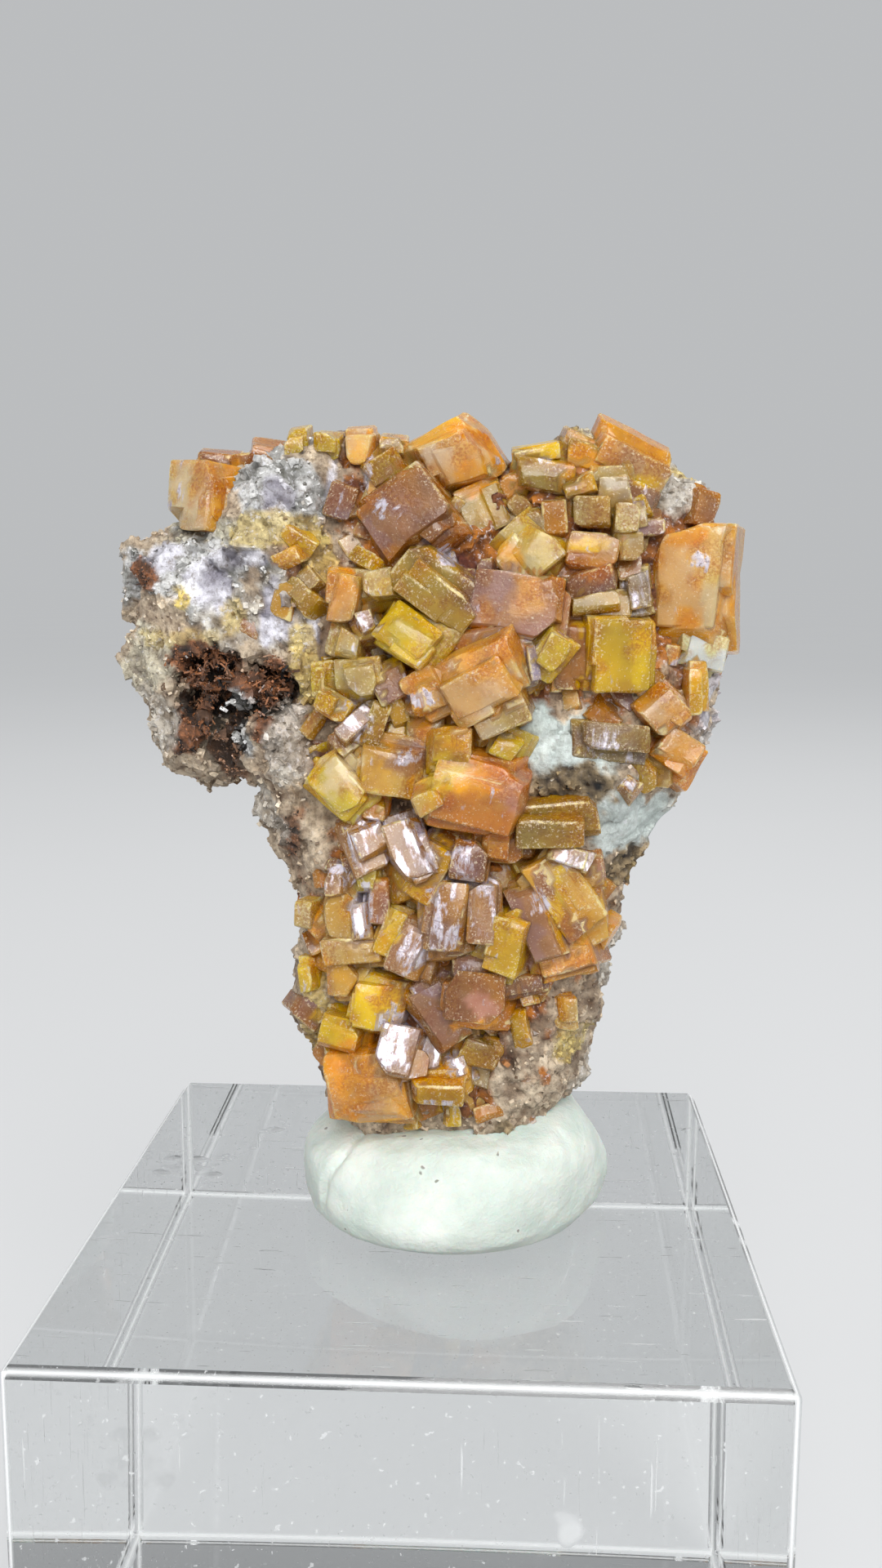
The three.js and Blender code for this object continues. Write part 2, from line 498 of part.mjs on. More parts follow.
function puttyPad() {
  const rings = PUTTY_PROFILE.map(([share, height]) =>
    Array.from({ length: PUTTY_SIDES }, (_, i) => {
      const angle = (2 * Math.PI * i) / PUTTY_SIDES;
      const dent = PUTTY_DENT * Math.sin(3 * angle + 0.6) * Math.sin(height);
      const rise = (PUTTY_RISE * height * Math.cos(angle - 0.5)) / 6;
      return new THREE.Vector3(
        PUTTY_MIDDLE[0] + (PUTTY_RADIUS[0] * share + dent) * Math.cos(angle),
        PUTTY_MIDDLE[1] + (PUTTY_RADIUS[1] * share + dent) * Math.sin(angle),
        PUTTY_LIFT + height + rise,
      );
    }),
  );
  return ringSolid(rings);
}

// Acrylic block

function blockGeometry() {
  const half = BLOCK_SIDE / 2 - BLOCK_EDGE;
  const radius = BLOCK_CORNER;
  const shape = new THREE.Shape();
  shape.absarc(half - radius, half - radius, radius, 0, Math.PI / 2);
  shape.absarc(-half + radius, half - radius, radius, Math.PI / 2, Math.PI);
  shape.absarc(-half + radius, -half + radius, radius, Math.PI, 1.5 * Math.PI);
  shape.absarc(half - radius, -half + radius, radius, 1.5 * Math.PI, 2 * Math.PI);
  return new THREE.ExtrudeGeometry(shape, {
    depth: BLOCK_HEIGHT - 2 * BLOCK_EDGE,
    bevelSize: BLOCK_EDGE,
    bevelThickness: BLOCK_EDGE,
    bevelSegments: 1,
    curveSegments: 2,
  }).translate(0, 0, BLOCK_EDGE);
}

// Assembly

function piece(name, geometry, roughness) {
  const material = new THREE.MeshStandardMaterial({ color: COLOURS[name], roughness });
  const mesh = new THREE.Mesh(geometry, material);
  mesh.name = name;
  return mesh;
}

const specimen = new THREE.Group();
specimen.position.z = BLOCK_HEIGHT;

// Each cluster is cut back to clear the ones before it; the rock is hollowed to hold them all
let taken = null;
for (const [name, rows] of Object.entries(CRYSTALS)) {
  const cluster = joined(rows.map(crystalSolid));
  const kept = taken ? cluster.subtract(taken) : cluster;
  specimen.add(piece(name, geometryOf(biggestPiece(kept)), 0.25));
  const room = joined(rows.map((row) => hullSolid(socketCorners(row))));
  taken = taken ? taken.add(room) : room;
}
const hollow = joined(Object.values(CRYSTALS).map((rows) => hullSolid(rows.flatMap(socketCorners))));

const rock = joined([rockBody(), ...[...ROCK_CRYSTALS, ...BACK_CRYSTALS].map(crystalSolid)]);
specimen.add(piece("matrix", geometryOf(biggestPiece(rock.subtract(hollow))), 0.85));

const pad = puttyPad().subtract(rockBody(GAP)).subtract(hollow);
specimen.add(piece("putty", geometryOf(biggestPiece(pad)), 0.55));

const part = new THREE.Group();
part.add(specimen);
part.add(piece("acrylic_block", blockGeometry(), 0.05));

export default part;
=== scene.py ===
"""Wulfenite specimen: blocky crystals on a pale, pitted rock, stuck with putty to an acrylic block.

Metres, +Z up, seen from -Y. Tables are in millimetres from the middle of the block's top face.
"""

import itertools
import math

import bpy
import numpy as np
from mathutils import Matrix, Vector


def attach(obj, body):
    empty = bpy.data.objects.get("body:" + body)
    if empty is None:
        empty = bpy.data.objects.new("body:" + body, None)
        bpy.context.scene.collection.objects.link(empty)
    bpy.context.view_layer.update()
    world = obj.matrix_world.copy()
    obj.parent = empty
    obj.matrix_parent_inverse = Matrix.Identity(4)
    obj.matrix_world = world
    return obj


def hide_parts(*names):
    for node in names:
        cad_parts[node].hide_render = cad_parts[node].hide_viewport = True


MM = 0.001

# Clear acrylic block
BLOCK_SIDE = 38.1
BLOCK_HEIGHT = 25.4
BLOCK_EDGE = 0.5
BLOCK_CELL = 0.7

# Putty pad: middle, radii, and its outline from the bottom to the middle of the top
PUTTY_MIDDLE = (1.8, 0.9)
PUTTY_RADIUS = (9.3, 8.7)
PUTTY_PROFILE = [
    (0.88, 0.0), (0.97, 0.7), (1.0, 1.9), (0.97, 3.4),
    (0.9, 4.8), (0.79, 5.8), (0.64, 6.3), (0.36, 6.4), (0.02, 6.4),
]
# How much its top leans, how deep its dents are, and how finely it is divided
PUTTY_RISE = 0.9
PUTTY_DENT = 0.35
PUTTY_RINGS = 56
PUTTY_SIDES = 180

# Rock: outline seen from the front, reach forwards and backwards, and how round its edge is
ROCK_OUTLINE = [
    (-15.2, 40.2), (-16.9, 39.1), (-17.1, 36.2), (-16.1, 34.3), (-17.0, 32.5), (-15.8, 30.0),
    (-15.6, 28.2), (-15.0, 26.5), (-12.4, 25.1), (-10.2, 25.8), (-9.4, 25.2), (-9.9, 24.1),
    (-8.6, 21.6), (-7.2, 19.0), (-7.0, 17.2), (-7.7, 14.6), (-7.8, 11.5), (-7.0, 10.6),
    (-5.9, 7.1), (-4.2, 4.6), (-3.4, 2.4), (6.4, 2.4), (8.0, 5.6), (9.8, 8.0), (10.6, 11.6),
    (11.3, 15.4), (12.1, 19.6), (12.9, 21.8), (14.3, 23.8), (15.6, 26.4), (16.9, 29.2),
    (17.4, 32.8), (16.7, 35.0), (16.2, 38.4), (16.1, 42.2), (13.2, 44.1), (10.8, 45.3),
    (9.0, 45.8), (5.3, 44.3), (2.1, 44.6), (-1.5, 45.2), (-3.8, 45.7), (-6.8, 45.4),
    (-9.9, 44.5), (-11.8, 42.4), (-12.8, 40.8),
]
ROCK_FRONT = 5.1
ROCK_BACK = 6.2
# It reaches less far forwards behind the crystals, from this x on, over this width
CRUST_FRONT = 3.5
CRUST_START = -7.5
CRUST_BLEND = 3.0
ROCK_EDGE = 4.6
# How lumpy it is, and the room at its edge for grit and grains
ROCK_LUMP = 0.13
ROCK_GRIT = 0.3
# How finely it is divided, and the lowest and highest corner of the space it is worked out in
ROCK_CELL = 0.22
ROCK_LOW = (-20.0, -8.3, -0.5)
ROCK_HIGH = (20.0, 8.6, 48.5)
# Hollow in the rock's left lobe: middle and radii of the rounded spaces that make it
HOLLOW = [
    (-10.7, -4.6, 31.3, 2.6, 4.0, 2.5),
    (-8.3, -5.0, 31.2, 2.2, 3.0, 1.6),
    (-10.7, -4.8, 28.3, 1.5, 3.2, 2.2),
]
# Bulges of the rock's front: middle (x, z), radii and height
BULGES = [
    (9.5, 26.5, 4.0, 4.0, 1.8),
    (7.0, 9.6, 4.0, 6.0, 1.3),
    (1.5, 30.5, 6.5, 7.5, 1.4),
    (1.0, 16.0, 5.0, 8.0, 1.0),
]

# Each crystal: name, middle of its front face (x, y, z), width, height, depth,
# degrees it is turned to the left, upwards and anticlockwise, colour
CRYSTALS = {
    "peak_crystals": [
        ("peak", 2.1, -4.2, 43.2, 4.0, 3.2, 4.0, 4, -16, 22, "peach"),
        ("peak_lower", 3.6, -3.8, 41.3, 2.9, 2.9, 3.4, -6, 6, 24, "olive"),
        ("big_brown", -0.5, -5.6, 40.7, 3.9, 4.3, 4.0, 8, 6, -53, "brown"),
        ("peak_side", -1.5, -4.4, 43.1, 2.3, 1.8, 3.4, -10, -6, 32, "olive"),
        ("knob_gold", -1.4, -3.4, 44.3, 1.4, 1.1, 3.0, 0, -10, -6, "gold"),
    ],
    "upper_right_crystals": [
        ("yellow_slab", 6.9, -4.2, 42.5, 3.4, 1.9, 3.4, 0, -14, -8, "olive"),
        ("red_hollow", 5.3, -3.6, 42.3, 1.7, 1.6, 3.0, 10, 0, 28, "deep"),
        ("olive_slab", 8.9, -3.3, 43.8, 2.2, 1.7, 3.4, 0, -6, -20, "olive"),
        ("sun_slab", 11.6, -3.2, 43.4, 4.2, 1.7, 3.6, -6, -14, -26, "orange"),
        ("lemon_chip", 6.4, -3.3, 43.9, 2.6, 0.9, 3.0, 0, -10, 10, "lemon"),
        ("yellow_knot", 8.7, -4.4, 42.2, 1.9, 1.6, 2.8, 4, 4, 18, "gold"),
        ("tan_step", 10.4, -4.0, 42.6, 2.1, 1.5, 3.0, -6, -8, 4, "tan"),
        ("mauve_slab", 11.9, -3.9, 41.6, 2.6, 1.8, 3.2, -8, 0, -24, "mauve"),
        ("tan_block", 9.3, -4.9, 40.8, 2.1, 1.9, 3.3, 8, -6, 0, "tan"),
        ("pale_square", 11.2, -5.0, 40.6, 1.3, 1.7, 3.4, -6, 4, 0, "straw"),
        ("niche_mauve", 12.5, -4.2, 40.1, 1.5, 1.0, 2.6, -4, 0, 0, "mauve"),
        ("amber_post", 7.4, -4.4, 40.5, 1.3, 2.3, 3.0, 10, 0, 2, "amber"),
        ("tan_lower", 11.4, -4.8, 39.1, 1.6, 1.6, 3.2, -8, 0, 0, "tan"),
        ("amber_slab", 9.4, -5.2, 38.8, 2.9, 2.0, 3.6, 0, 8, -6, "amber"),
        ("mauve_leaf", 9.3, -5.2, 37.1, 2.7, 1.5, 3.6, 6, -20, 18, "mauve"),
        ("olive_leaf", 9.6, -5.4, 36.2, 2.6, 1.2, 3.8, 0, 14, 6, "olive"),
        ("glass_nub", 12.0, -5.0, 36.8, 1.4, 2.0, 3.4, -6, 6, 12, "grey"),
        ("brown_end", 15.6, -2.8, 41.2, 1.6, 2.2, 3.0, -16, 0, -14, "brown"),
    ],
    "right_edge_crystal": [
        ("right_edge", 14.6, -4.2, 37.0, 4.3, 6.6, 4.8, 15, 0, -2, "peach"),
    ],
    "yellow_square_crystals": [
        ("yellow_square", 11.1, -6.0, 33.3, 3.3, 4.0, 4.6, -12, -4, -2, "yellow"),
        ("brown_neighbour", 8.6, -5.2, 33.5, 2.4, 4.0, 4.2, 8, 0, 0, "brown"),
    ],
    "centre_crystals": [
        ("centre_mauve", 5.3, -6.4, 35.9, 4.8, 3.8, 4.8, 4, 4, -8, "rose"),
        ("straw_roof", 6.1, -5.8, 38.7, 3.3, 2.9, 4.2, 2, 6, 42, "straw"),
        ("orange_wedge", 3.5, -6.2, 33.9, 3.6, 1.7, 4.6, 6, -14, 10, "deep"),
        ("yellow_chip", 7.4, -6.8, 33.5, 1.4, 2.1, 5.2, -4, 4, -32, "lemon"),
        ("brown_foot", 5.6, -5.8, 32.6, 1.3, 1.8, 4.2, 4, 0, 0, "brown"),
        ("lilac_flake", 6.4, -6.4, 33.0, 0.6, 2.2, 4.8, -22, 10, 8, "lilac"),
    ],
    "left_front_crystals": [
        ("olive_bar", 1.3, -6.8, 36.2, 4.4, 2.0, 5.2, 4, -14, -38, "olive"),
        ("lemon_block", -0.3, -7.2, 34.6, 3.4, 2.4, 5.6, 4, 8, -35, "lemon"),
        ("pale_face", -1.8, -6.2, 37.2, 2.1, 1.6, 4.6, 10, 14, 8, "straw"),
        ("pale_rhomb", -2.5, -6.2, 35.2, 0.9, 1.2, 4.6, -6, 22, 20, "silver"),
        ("red_rough", -3.9, -5.8, 36.3, 2.0, 2.9, 4.2, 12, 4, -8, "orange"),
        ("straw_upper", -3.7, -6.2, 34.0, 1.6, 1.5, 4.6, 8, 6, -14, "straw"),
        ("straw_lower", -2.8, -6.8, 32.2, 1.7, 2.0, 5.2, 2, 4, 12, "straw"),
        ("mauve_corner", -1.2, -6.2, 32.0, 2.1, 2.5, 4.6, -8, 6, 26, "mauve"),
        ("yellow_cube", -4.7, -6.4, 30.8, 1.3, 1.1, 4.8, 14, 4, -24, "yellow"),
        ("lemon_post", -5.2, -5.8, 31.9, 0.9, 1.6, 4.2, 10, 0, 0, "lemon"),
    ],
    "big_orange_crystals": [
        ("big_orange", 3.3, -8.0, 31.4, 4.0, 2.6, 6.4, 12, -18, 29, "peach"),
        ("orange_step", 4.6, -7.4, 30.3, 3.3, 1.8, 5.8, 4, -4, 26, "tan"),
        ("orange_side", 0.7, -7.0, 31.5, 2.5, 2.4, 5.4, 20, 0, 24, "orange"),
        ("gold_under", 1.8, -7.2, 28.3, 2.6, 2.8, 5.6, 4, 2, 2, "gold"),
        ("yellow_foot", 5.0, -6.8, 28.6, 1.6, 1.5, 5.2, -4, 4, -28, "lemon"),
    ],
    "yellow_rhomb_crystals": [
        ("yellow_rhomb", -4.0, -7.0, 26.4, 3.1, 2.4, 5.4, 8, 4, -45, "lemon"),
        ("honey_block", -1.2, -6.8, 27.3, 3.7, 2.8, 5.2, 4, 4, -8, "honey"),
        ("olive_post", -2.0, -6.2, 29.6, 1.1, 2.6, 4.6, -6, 0, -14, "olive"),
        ("silver_bar", -3.0, -6.4, 29.9, 2.5, 1.2, 4.8, -6, 24, 42, "silver"),
        ("red_gap", -2.1, -6.0, 25.1, 1.4, 1.3, 4.4, 0, 6, -8, "deep"),
    ],
    "lower_orange_crystals": [
        ("lower_orange", 3.5, -7.6, 26.0, 5.2, 3.6, 6.0, 4, -8, -14, "deep"),
        ("tan_ear", 0.8, -7.6, 25.7, 1.8, 1.2, 6.0, 14, -6, 32, "honey"),
        ("amber_drop", 4.4, -6.8, 23.1, 1.7, 1.8, 5.2, 2, -6, -8, "amber"),
    ],
    "shiny_prisms": [
        ("silver_tall", -0.1, -6.8, 23.0, 2.4, 3.4, 5.2, -6, 22, 16, "silver"),
        ("silver_left", -2.3, -6.6, 23.6, 1.8, 2.1, 5.0, -6, 24, 22, "silver"),
        ("gold_ridge", 0.8, -6.6, 21.7, 1.8, 3.7, 5.0, 10, 8, -28, "gold"),
        ("grey_cap", 3.0, -7.0, 22.5, 1.9, 2.4, 5.4, 6, 10, -4, "mauve"),
        ("prism_left", 1.7, -7.2, 19.5, 2.3, 3.7, 5.6, 8, 12, -2, "silver"),
        ("prism_right", 3.9, -7.0, 19.6, 2.0, 3.3, 5.4, -8, 12, -6, "silver"),
        ("prism_low", -0.1, -6.6, 17.7, 2.1, 3.6, 5.0, 6, 16, -20, "silver"),
    ],
    "right_lower_crystals": [
        ("honey_plank", 8.4, -6.6, 20.4, 2.7, 5.2, 5.0, -6, 4, 28, "honey"),
        ("rose_side", 6.7, -6.4, 19.1, 2.6, 4.9, 4.8, 16, 8, 22, "rose"),
        ("orange_heel", 8.3, -6.2, 17.0, 2.9, 1.6, 4.6, -4, 12, 14, "orange"),
        ("olive_lid", 7.3, -7.0, 23.9, 3.8, 1.6, 5.4, 0, -12, 0, "olive"),
        ("silver_wedge", 8.3, -6.6, 22.8, 2.0, 1.0, 5.0, -8, 22, -20, "silver"),
        ("side_rose", 9.8, -5.4, 21.5, 1.2, 2.1, 3.8, -8, 0, 6, "rose"),
        ("small_yellow", 5.0, -7.2, 17.8, 2.0, 3.1, 5.6, 6, 2, -14, "yellow"),
    ],
    "orange_pair_crystals": [
        ("pair_upper", 13.3, -5.4, 30.5, 2.2, 2.8, 3.8, -6, 8, 38, "orange"),
        ("pair_lower", 14.3, -5.0, 28.3, 2.4, 2.1, 3.6, -10, 10, -34, "orange"),
        ("grey_prism", 10.8, -6.2, 29.1, 3.7, 1.6, 4.6, 0, 8, -4, "grey"),
    ],
    "left_column_crystals": [
        ("honey_panel", -4.1, -5.4, 19.0, 1.9, 2.6, 3.8, 10, 4, 0, "honey"),
        ("pale_cap", -4.3, -5.6, 20.8, 1.4, 1.3, 4.0, 6, 22, 0, "silver"),
        ("silver_slip", -3.0, -5.8, 18.8, 1.2, 2.1, 4.2, 4, 20, 8, "silver"),
        ("rose_post", -1.9, -6.0, 20.0, 1.3, 2.8, 4.4, 2, 4, -4, "rose"),
        ("lemon_tip", -2.6, -6.0, 21.6, 1.1, 1.9, 4.4, 6, 4, 0, "lemon"),
        ("honey_sill", -3.5, -5.8, 17.1, 3.5, 1.7, 4.2, 8, 2, 8, "honey"),
        ("gold_blade", -1.3, -6.2, 18.3, 1.2, 2.8, 4.6, -4, 8, -24, "gold"),
        ("honey_low", -4.1, -5.4, 15.4, 1.9, 2.0, 3.8, 10, 6, 0, "honey"),
    ],
    "bottom_crystals": [
        ("gold_facet", -2.3, -6.2, 14.0, 2.4, 2.6, 4.6, 6, 4, -6, "gold"),
        ("gold_corner", -4.3, -5.6, 12.1, 2.5, 2.0, 4.0, 14, 4, -8, "gold"),
        ("silver_fan", -0.6, -6.4, 11.7, 3.1, 3.0, 4.8, -6, 22, -12, "silver"),
        ("big_base", -2.7, -6.0, 9.1, 4.2, 4.2, 4.6, 8, -2, 8, "orange"),
        ("mauve_panel", 1.3, -5.8, 13.5, 2.3, 4.5, 4.2, -6, 6, 32, "mauve"),
        ("brown_cube", 3.3, -6.8, 14.9, 3.5, 2.9, 5.2, 6, 6, -4, "brown"),
        ("sill_tan", 3.1, -6.2, 16.6, 2.0, 1.6, 4.6, 4, 6, 0, "mauve"),
        ("sill_mauve", 5.8, -6.0, 15.4, 2.7, 1.1, 4.4, 0, 4, 8, "mauve"),
        ("olive_base", 3.7, -5.6, 11.3, 2.3, 2.2, 4.0, 0, 10, -20, "olive"),
        ("bottom_gold", 1.3, -6.4, 9.1, 3.2, 1.4, 4.8, 4, -20, 0, "gold"),
        ("white_tri", 2.4, -6.0, 10.5, 1.4, 1.6, 4.4, -6, 22, 20, "silver"),
    ],
    "upper_left_crystals": [
        ("upper_left", -12.5, -3.3, 42.0, 3.8, 3.9, 3.8, 38, 8, -4, "peach"),
        ("brown_back", -9.5, -1.6, 43.2, 1.8, 2.1, 3.4, -8, 0, 12, "brown"),
        ("back_peach", -11.3, -0.8, 43.7, 2.5, 1.2, 3.0, -8, -10, -4, "brown"),
    ],
}

# Small crystals that are one with the rock
ROCK_CRYSTALS = [
    ("calcite_lump", 15.6, -3.8, 33.6, 3.0, 2.1, 4.0, -12, 4, -14, "calcite"),
    ("knob_peach", -3.1, -3.6, 44.2, 1.5, 1.8, 3.0, 4, -6, 0, "peach"),
    ("cap_green", -5.0, -3.4, 44.5, 1.3, 1.1, 3.0, 0, -10, -4, "lemon"),
    ("cap_lemon", -6.7, -3.2, 44.4, 1.1, 1.1, 3.0, 0, -10, 6, "lemon"),
    ("crest_brown", -8.4, -2.6, 43.6, 2.3, 1.2, 3.0, -6, -10, -14, "brown"),
    ("yellow_bud", -8.7, -3.4, 41.4, 1.2, 1.3, 2.6, 4, 4, 0, "lemon"),
    ("rock_olive", -7.2, -5.0, 36.3, 1.4, 2.3, 3.4, 8, 0, -14, "honey"),
    ("rock_orange", -9.7, -4.6, 35.1, 1.1, 1.7, 3.0, 10, 0, -20, "orange"),
    ("rock_lemon", -12.8, -4.0, 36.3, 0.9, 1.2, 2.4, 10, 4, 20, "lemon"),
    ("rock_plate", -8.6, -5.0, 34.9, 1.7, 1.5, 3.4, -6, 22, -30, "silver"),
    ("side_gold", 15.1, -4.6, 31.4, 0.8, 2.5, 3.0, -8, 0, 0, "gold"),
    ("white_rhomb", 11.6, -6.2, 26.6, 0.7, 0.7, 4.6, -6, 22, 45, "silver"),
    ("flank_honey", 8.6, -4.6, 13.6, 1.1, 1.6, 3.0, -10, 6, 0, "honey"),
    ("flank_lemon", -6.4, -4.0, 14.9, 1.0, 1.8, 2.6, 16, 0, 10, "lemon"),
    ("flank_pale", -6.4, -4.2, 18.7, 1.1, 1.7, 2.6, 16, 6, 0, "straw"),
]

# Blocky ends of the rock, in the same form without the colour
ROCK_BLOCKS = [
    ("rim_point", -15.2, -3.2, 32.8, 2.8, 2.8, 4.6, 12, 0, 44),
    ("corner_block", -15.3, -2.8, 37.4, 2.2, 3.8, 3.4, 16, 4, 4),
]

# Crystals on the back
BACK_CRYSTALS = [
    ("back_slab", 6.2, 7.4, 37.6, 4.0, 3.2, 3.4, 176, 4, 24, "orange"),
    ("back_block", 1.2, 7.8, 34.2, 3.0, 3.4, 3.4, 186, -6, -12, "honey"),
    ("back_plate", 10.4, 7.0, 33.0, 2.8, 2.4, 3.2, 168, 8, 40, "brown"),
    ("back_small", -4.6, 7.6, 38.8, 2.0, 1.8, 3.0, 182, 6, -30, "lemon"),
    ("back_low", 3.4, 7.4, 22.6, 2.6, 3.0, 3.2, 178, -4, 10, "gold"),
    ("back_left", -10.6, 6.8, 35.4, 2.2, 2.6, 3.0, 194, 4, 18, "tan"),
    ("back_chip", 7.6, 6.8, 26.4, 1.8, 1.6, 2.8, 172, 0, -36, "lemon"),
]

# Small crystals: how many, smallest and largest size, how much deeper they are, how far they stand out,
# and how far they may turn to the left, upwards and anticlockwise
SMALL_COUNT = 170
SMALL_SIZES = (0.9, 2.4)
SMALL_DEEPER = 0.8
SMALL_OUT = (0.0, 0.7)
SMALL_TURNS = [(-24, 24), (-18, 26), (-45, 45)]
# Those round the crystals on the back: how many for their area, and how far from them
BACK_SHARE = 0.5
BACK_SPREAD = 2.4

# Crystals: width of their broken edges, and how finely they are divided, the narrow ones finer
CRYSTAL_BEVEL = 0.12
CRYSTAL_CELL = 0.3
NARROW_CELL = 0.24
NARROW_WIDTH = 1.2
# Cut corners: how many, and how deep for the crystal's smaller side
CORNER_CUTS = 6
CUT_DEPTH = (0.04, 0.32)
# How far a crystal's faces are out of flat, in waves of what size
CRYSTAL_WARP = 0.06
WARP_SIZE = 1.3
# The block a crystal grows out of: how much wider and how far back for the crystal's smaller side,
# how far it leans in degrees, and how far inside the rock's outline it has little and full room
FOOT_WIDER = (0.7, 1.5)
FOOT_BACK = (0.35, 0.7)
FOOT_LEAN = 6
FOOT_ROOM = (0.5, 3.5)
# Growth steps on a crystal: how large for the crystal, and how far they stand out
STEP_SIZES = (0.5, 0.9)
STEP_OUT = (0.03, 0.12)

# Crystal colours: the body, and the zone that covers much of the front, haze under a painted sheen
COLOURS = {
    "peach": ("#d89c2c", "#d2b898"),
    "orange": ("#d89610", "#c69e6c"),
    "deep": ("#c47804", "#b48038"),
    "amber": ("#b47806", "#a87422"),
    "gold": ("#d09c00", "#c0981c"),
    "yellow": ("#d8ac00", "#bc9a14"),
    "lemon": ("#d0b004", "#bea83a"),
    "olive": ("#aa8206", "#988034"),
    "honey": ("#c89418", "#c2a262"),
    "brown": ("#aa7010", "#8a603c"),
    "mauve": ("#966636", "#8a6a66"),
    "rose": ("#b07a30", "#a47c6c"),
    "tan": ("#b08a3c", "#ac9a78"),
    "straw": ("#c4a854", "#bcac80"),
    "silver": ("#a87a40", "#8c6c5c"),
    "grey": ("#9a8660", "#867a70"),
    "lilac": ("#a494a4", "#b8b0c4"),
    "calcite": ("#e0e2da", "#d0d2cc"),
}
# Pale edge lines: chipped edges with a painted highlight
EDGE_COLOUR = "#f2dc9c"
# How much of a crystal's front is mirror-like patches, a painted reflection: the usual share, and
# colours that have another
USUAL_SHINE = 0.27
SHINE = {
    "silver": 0.8, "grey": 0.6, "lilac": 1.0, "mauve": 0.4, "rose": 0.35, "straw": 0.35, "calcite": 0.0,
}
# How strongly spots and mirror-like patches show, where a spot ends as a share of its radii,
# and how far back it fades out
# The mirror-like patches are a painted reflection
SPOT_STRENGTH = 0.85
MIRROR_STRENGTH = 1.15
SPOT_END = (1.15, 0.85)
SPOT_BACK = (3.0, 0.5)
# Spots of another colour on the crystals, seen from the front: colour, middle (x, z), radii
# The mauve, pink, pale and peach spots are a painted sheen over haze; the yellow, gold, orange and rust
# ones are colour zones
SPOT_COLOURS = {
    "yellow": "#dcb800",
    "gold": "#dca008",
    "orange": "#de9810",
    "rust": "#bc7418",
    "mauve": "#947068",
    "pink": "#b88470",
    "pale": "#d2bc90",
    "peach": "#d4a470",
}
CRYSTAL_SPOTS = [
    ("mauve", -1.2, 40.1, 1.6, 1.4), ("orange", 2.9, 42.6, 0.7, 0.9), ("yellow", 7.5, 43.9, 0.6, 0.5),
    ("yellow", 9.4, 39.1, 1.2, 0.35), ("rust", 9.2, 37.9, 1.3, 0.6), ("gold", 4.8, 38.6, 0.8, 0.8),
    ("mauve", 4.1, 37.0, 1.4, 1.3), ("peach", 6.1, 36.4, 0.9, 1.0), ("orange", 5.1, 33.8, 0.9, 0.7),
    ("yellow", 11.9, 33.6, 0.55, 1.5), ("orange", 14.4, 39.6, 1.3, 0.6),
    ("orange", 14.6, 35.3, 0.6, 0.6),
    ("pale", 15.7, 36.5, 0.5, 1.6), ("yellow", 12.4, 42.5, 0.7, 0.4), ("gold", 8.6, 43.6, 1.0, 0.7),
    ("gold", 1.1, 32.2, 1.3, 0.6), ("orange", 0.4, 29.7, 0.5, 1.1), ("yellow", -5.3, 26.1, 0.5, 1.6),
    ("pale", -3.9, 27.1, 1.1, 1.1), ("yellow", 1.7, 27.2, 1.2, 1.1), ("gold", 2.3, 28.7, 0.9, 0.5),
    ("orange", 3.4, 26.7, 1.5, 0.8), ("rust", 3.6, 24.8, 2.0, 1.2), ("mauve", -0.5, 27.7, 1.0, 1.0),
    ("pink", 5.5, 26.1, 0.9, 1.2), ("yellow", -2.3, 14.2, 1.2, 1.2), ("yellow", -4.3, 12.5, 1.2, 0.8),
    ("orange", -3.4, 9.8, 1.2, 1.8), ("yellow", -1.1, 18.8, 0.5, 1.2), ("gold", -5.3, 15.9, 0.6, 1.0),
    ("orange", 3.2, 13.2, 1.2, 0.4), ("pink", 3.6, 14.5, 1.2, 0.6), ("yellow", 7.8, 20.1, 0.4, 1.6),
    ("pale", -13.2, 42.0, 1.3, 1.7),
]
# Where mirror-like patches, a painted reflection, cover the crystals: middle (x, z), radii
MIRRORS = [
    (1.7, 38.5, 0.7, 0.6), (-2.5, 43.1, 0.3, 0.8), (-1.9, 41.1, 0.4, 0.6), (6.7, 43.6, 0.5, 0.25),
    (4.5, 43.7, 0.4, 0.5), (15.2, 38.3, 0.7, 0.5), (14.2, 32.8, 0.5, 0.25), (-2.6, 35.2, 0.4, 0.6),
    (-3.0, 30.1, 1.1, 1.1), (0.4, 31.1, 1.0, 0.4), (-2.5, 23.6, 0.9, 0.9), (-0.3, 23.0, 1.1, 1.4),
    (8.4, 22.6, 0.8, 0.4), (-0.4, 27.9, 0.7, 0.5), (-4.2, 21.0, 0.7, 0.7), (2.8, 22.1, 0.8, 1.1),
    (1.7, 20.4, 0.8, 0.7), (2.2, 18.3, 0.5, 0.8), (4.1, 20.6, 0.6, 0.5), (-2.8, 19.6, 0.7, 1.3),
    (0.4, 16.8, 0.7, 0.9), (6.7, 20.2, 0.6, 0.9), (-1.1, 12.3, 1.2, 1.5), (2.2, 10.5, 0.6, 0.7),
    (1.5, 8.7, 0.9, 0.35), (-13.9, 41.8, 0.25, 0.9), (-12.9, 42.0, 0.25, 0.9),
]

# Rock colours and how each kind of surface is broken up:
# light colour, dark colour, size of its lumps, how deep they are, how steep its facets are, gloss
ROCK_KINDS = {
    "beige": ("#c9b79e", "#75604c", 0.9, 0.20, 0.5, 0.1),
    "druse": ("#d2d1cf", "#6a6962", 0.7, 0.14, 0.9, 0.8),
    "pale": ("#c0baa4", "#80786a", 0.8, 0.14, 0.7, 0.4),
    "stain": ("#d2bc6c", "#a08448", 0.8, 0.16, 0.7, 0.6),
    "calcite": ("#ccd4d0", "#a6b0ac", 2.0, 0.12, 0.45, 0.4),
    "porous": ("#a48f6c", "#2e241a", 0.6, 0.34, 0.3, 0.1),
    "rust": ("#98623e", "#261a12", 0.6, 0.30, 0.8, 0.1),
    "white": ("#cfcac0", "#8a7e6e", 0.7, 0.18, 0.8, 0.6),
    "silver": ("#e2e0e8", "#8a8690", 1.2, 0.08, 0.9, 1.0),
    "crust": ("#b06c20", "#5c2c0e", 1.0, 0.20, 0.9, 0.9),
}
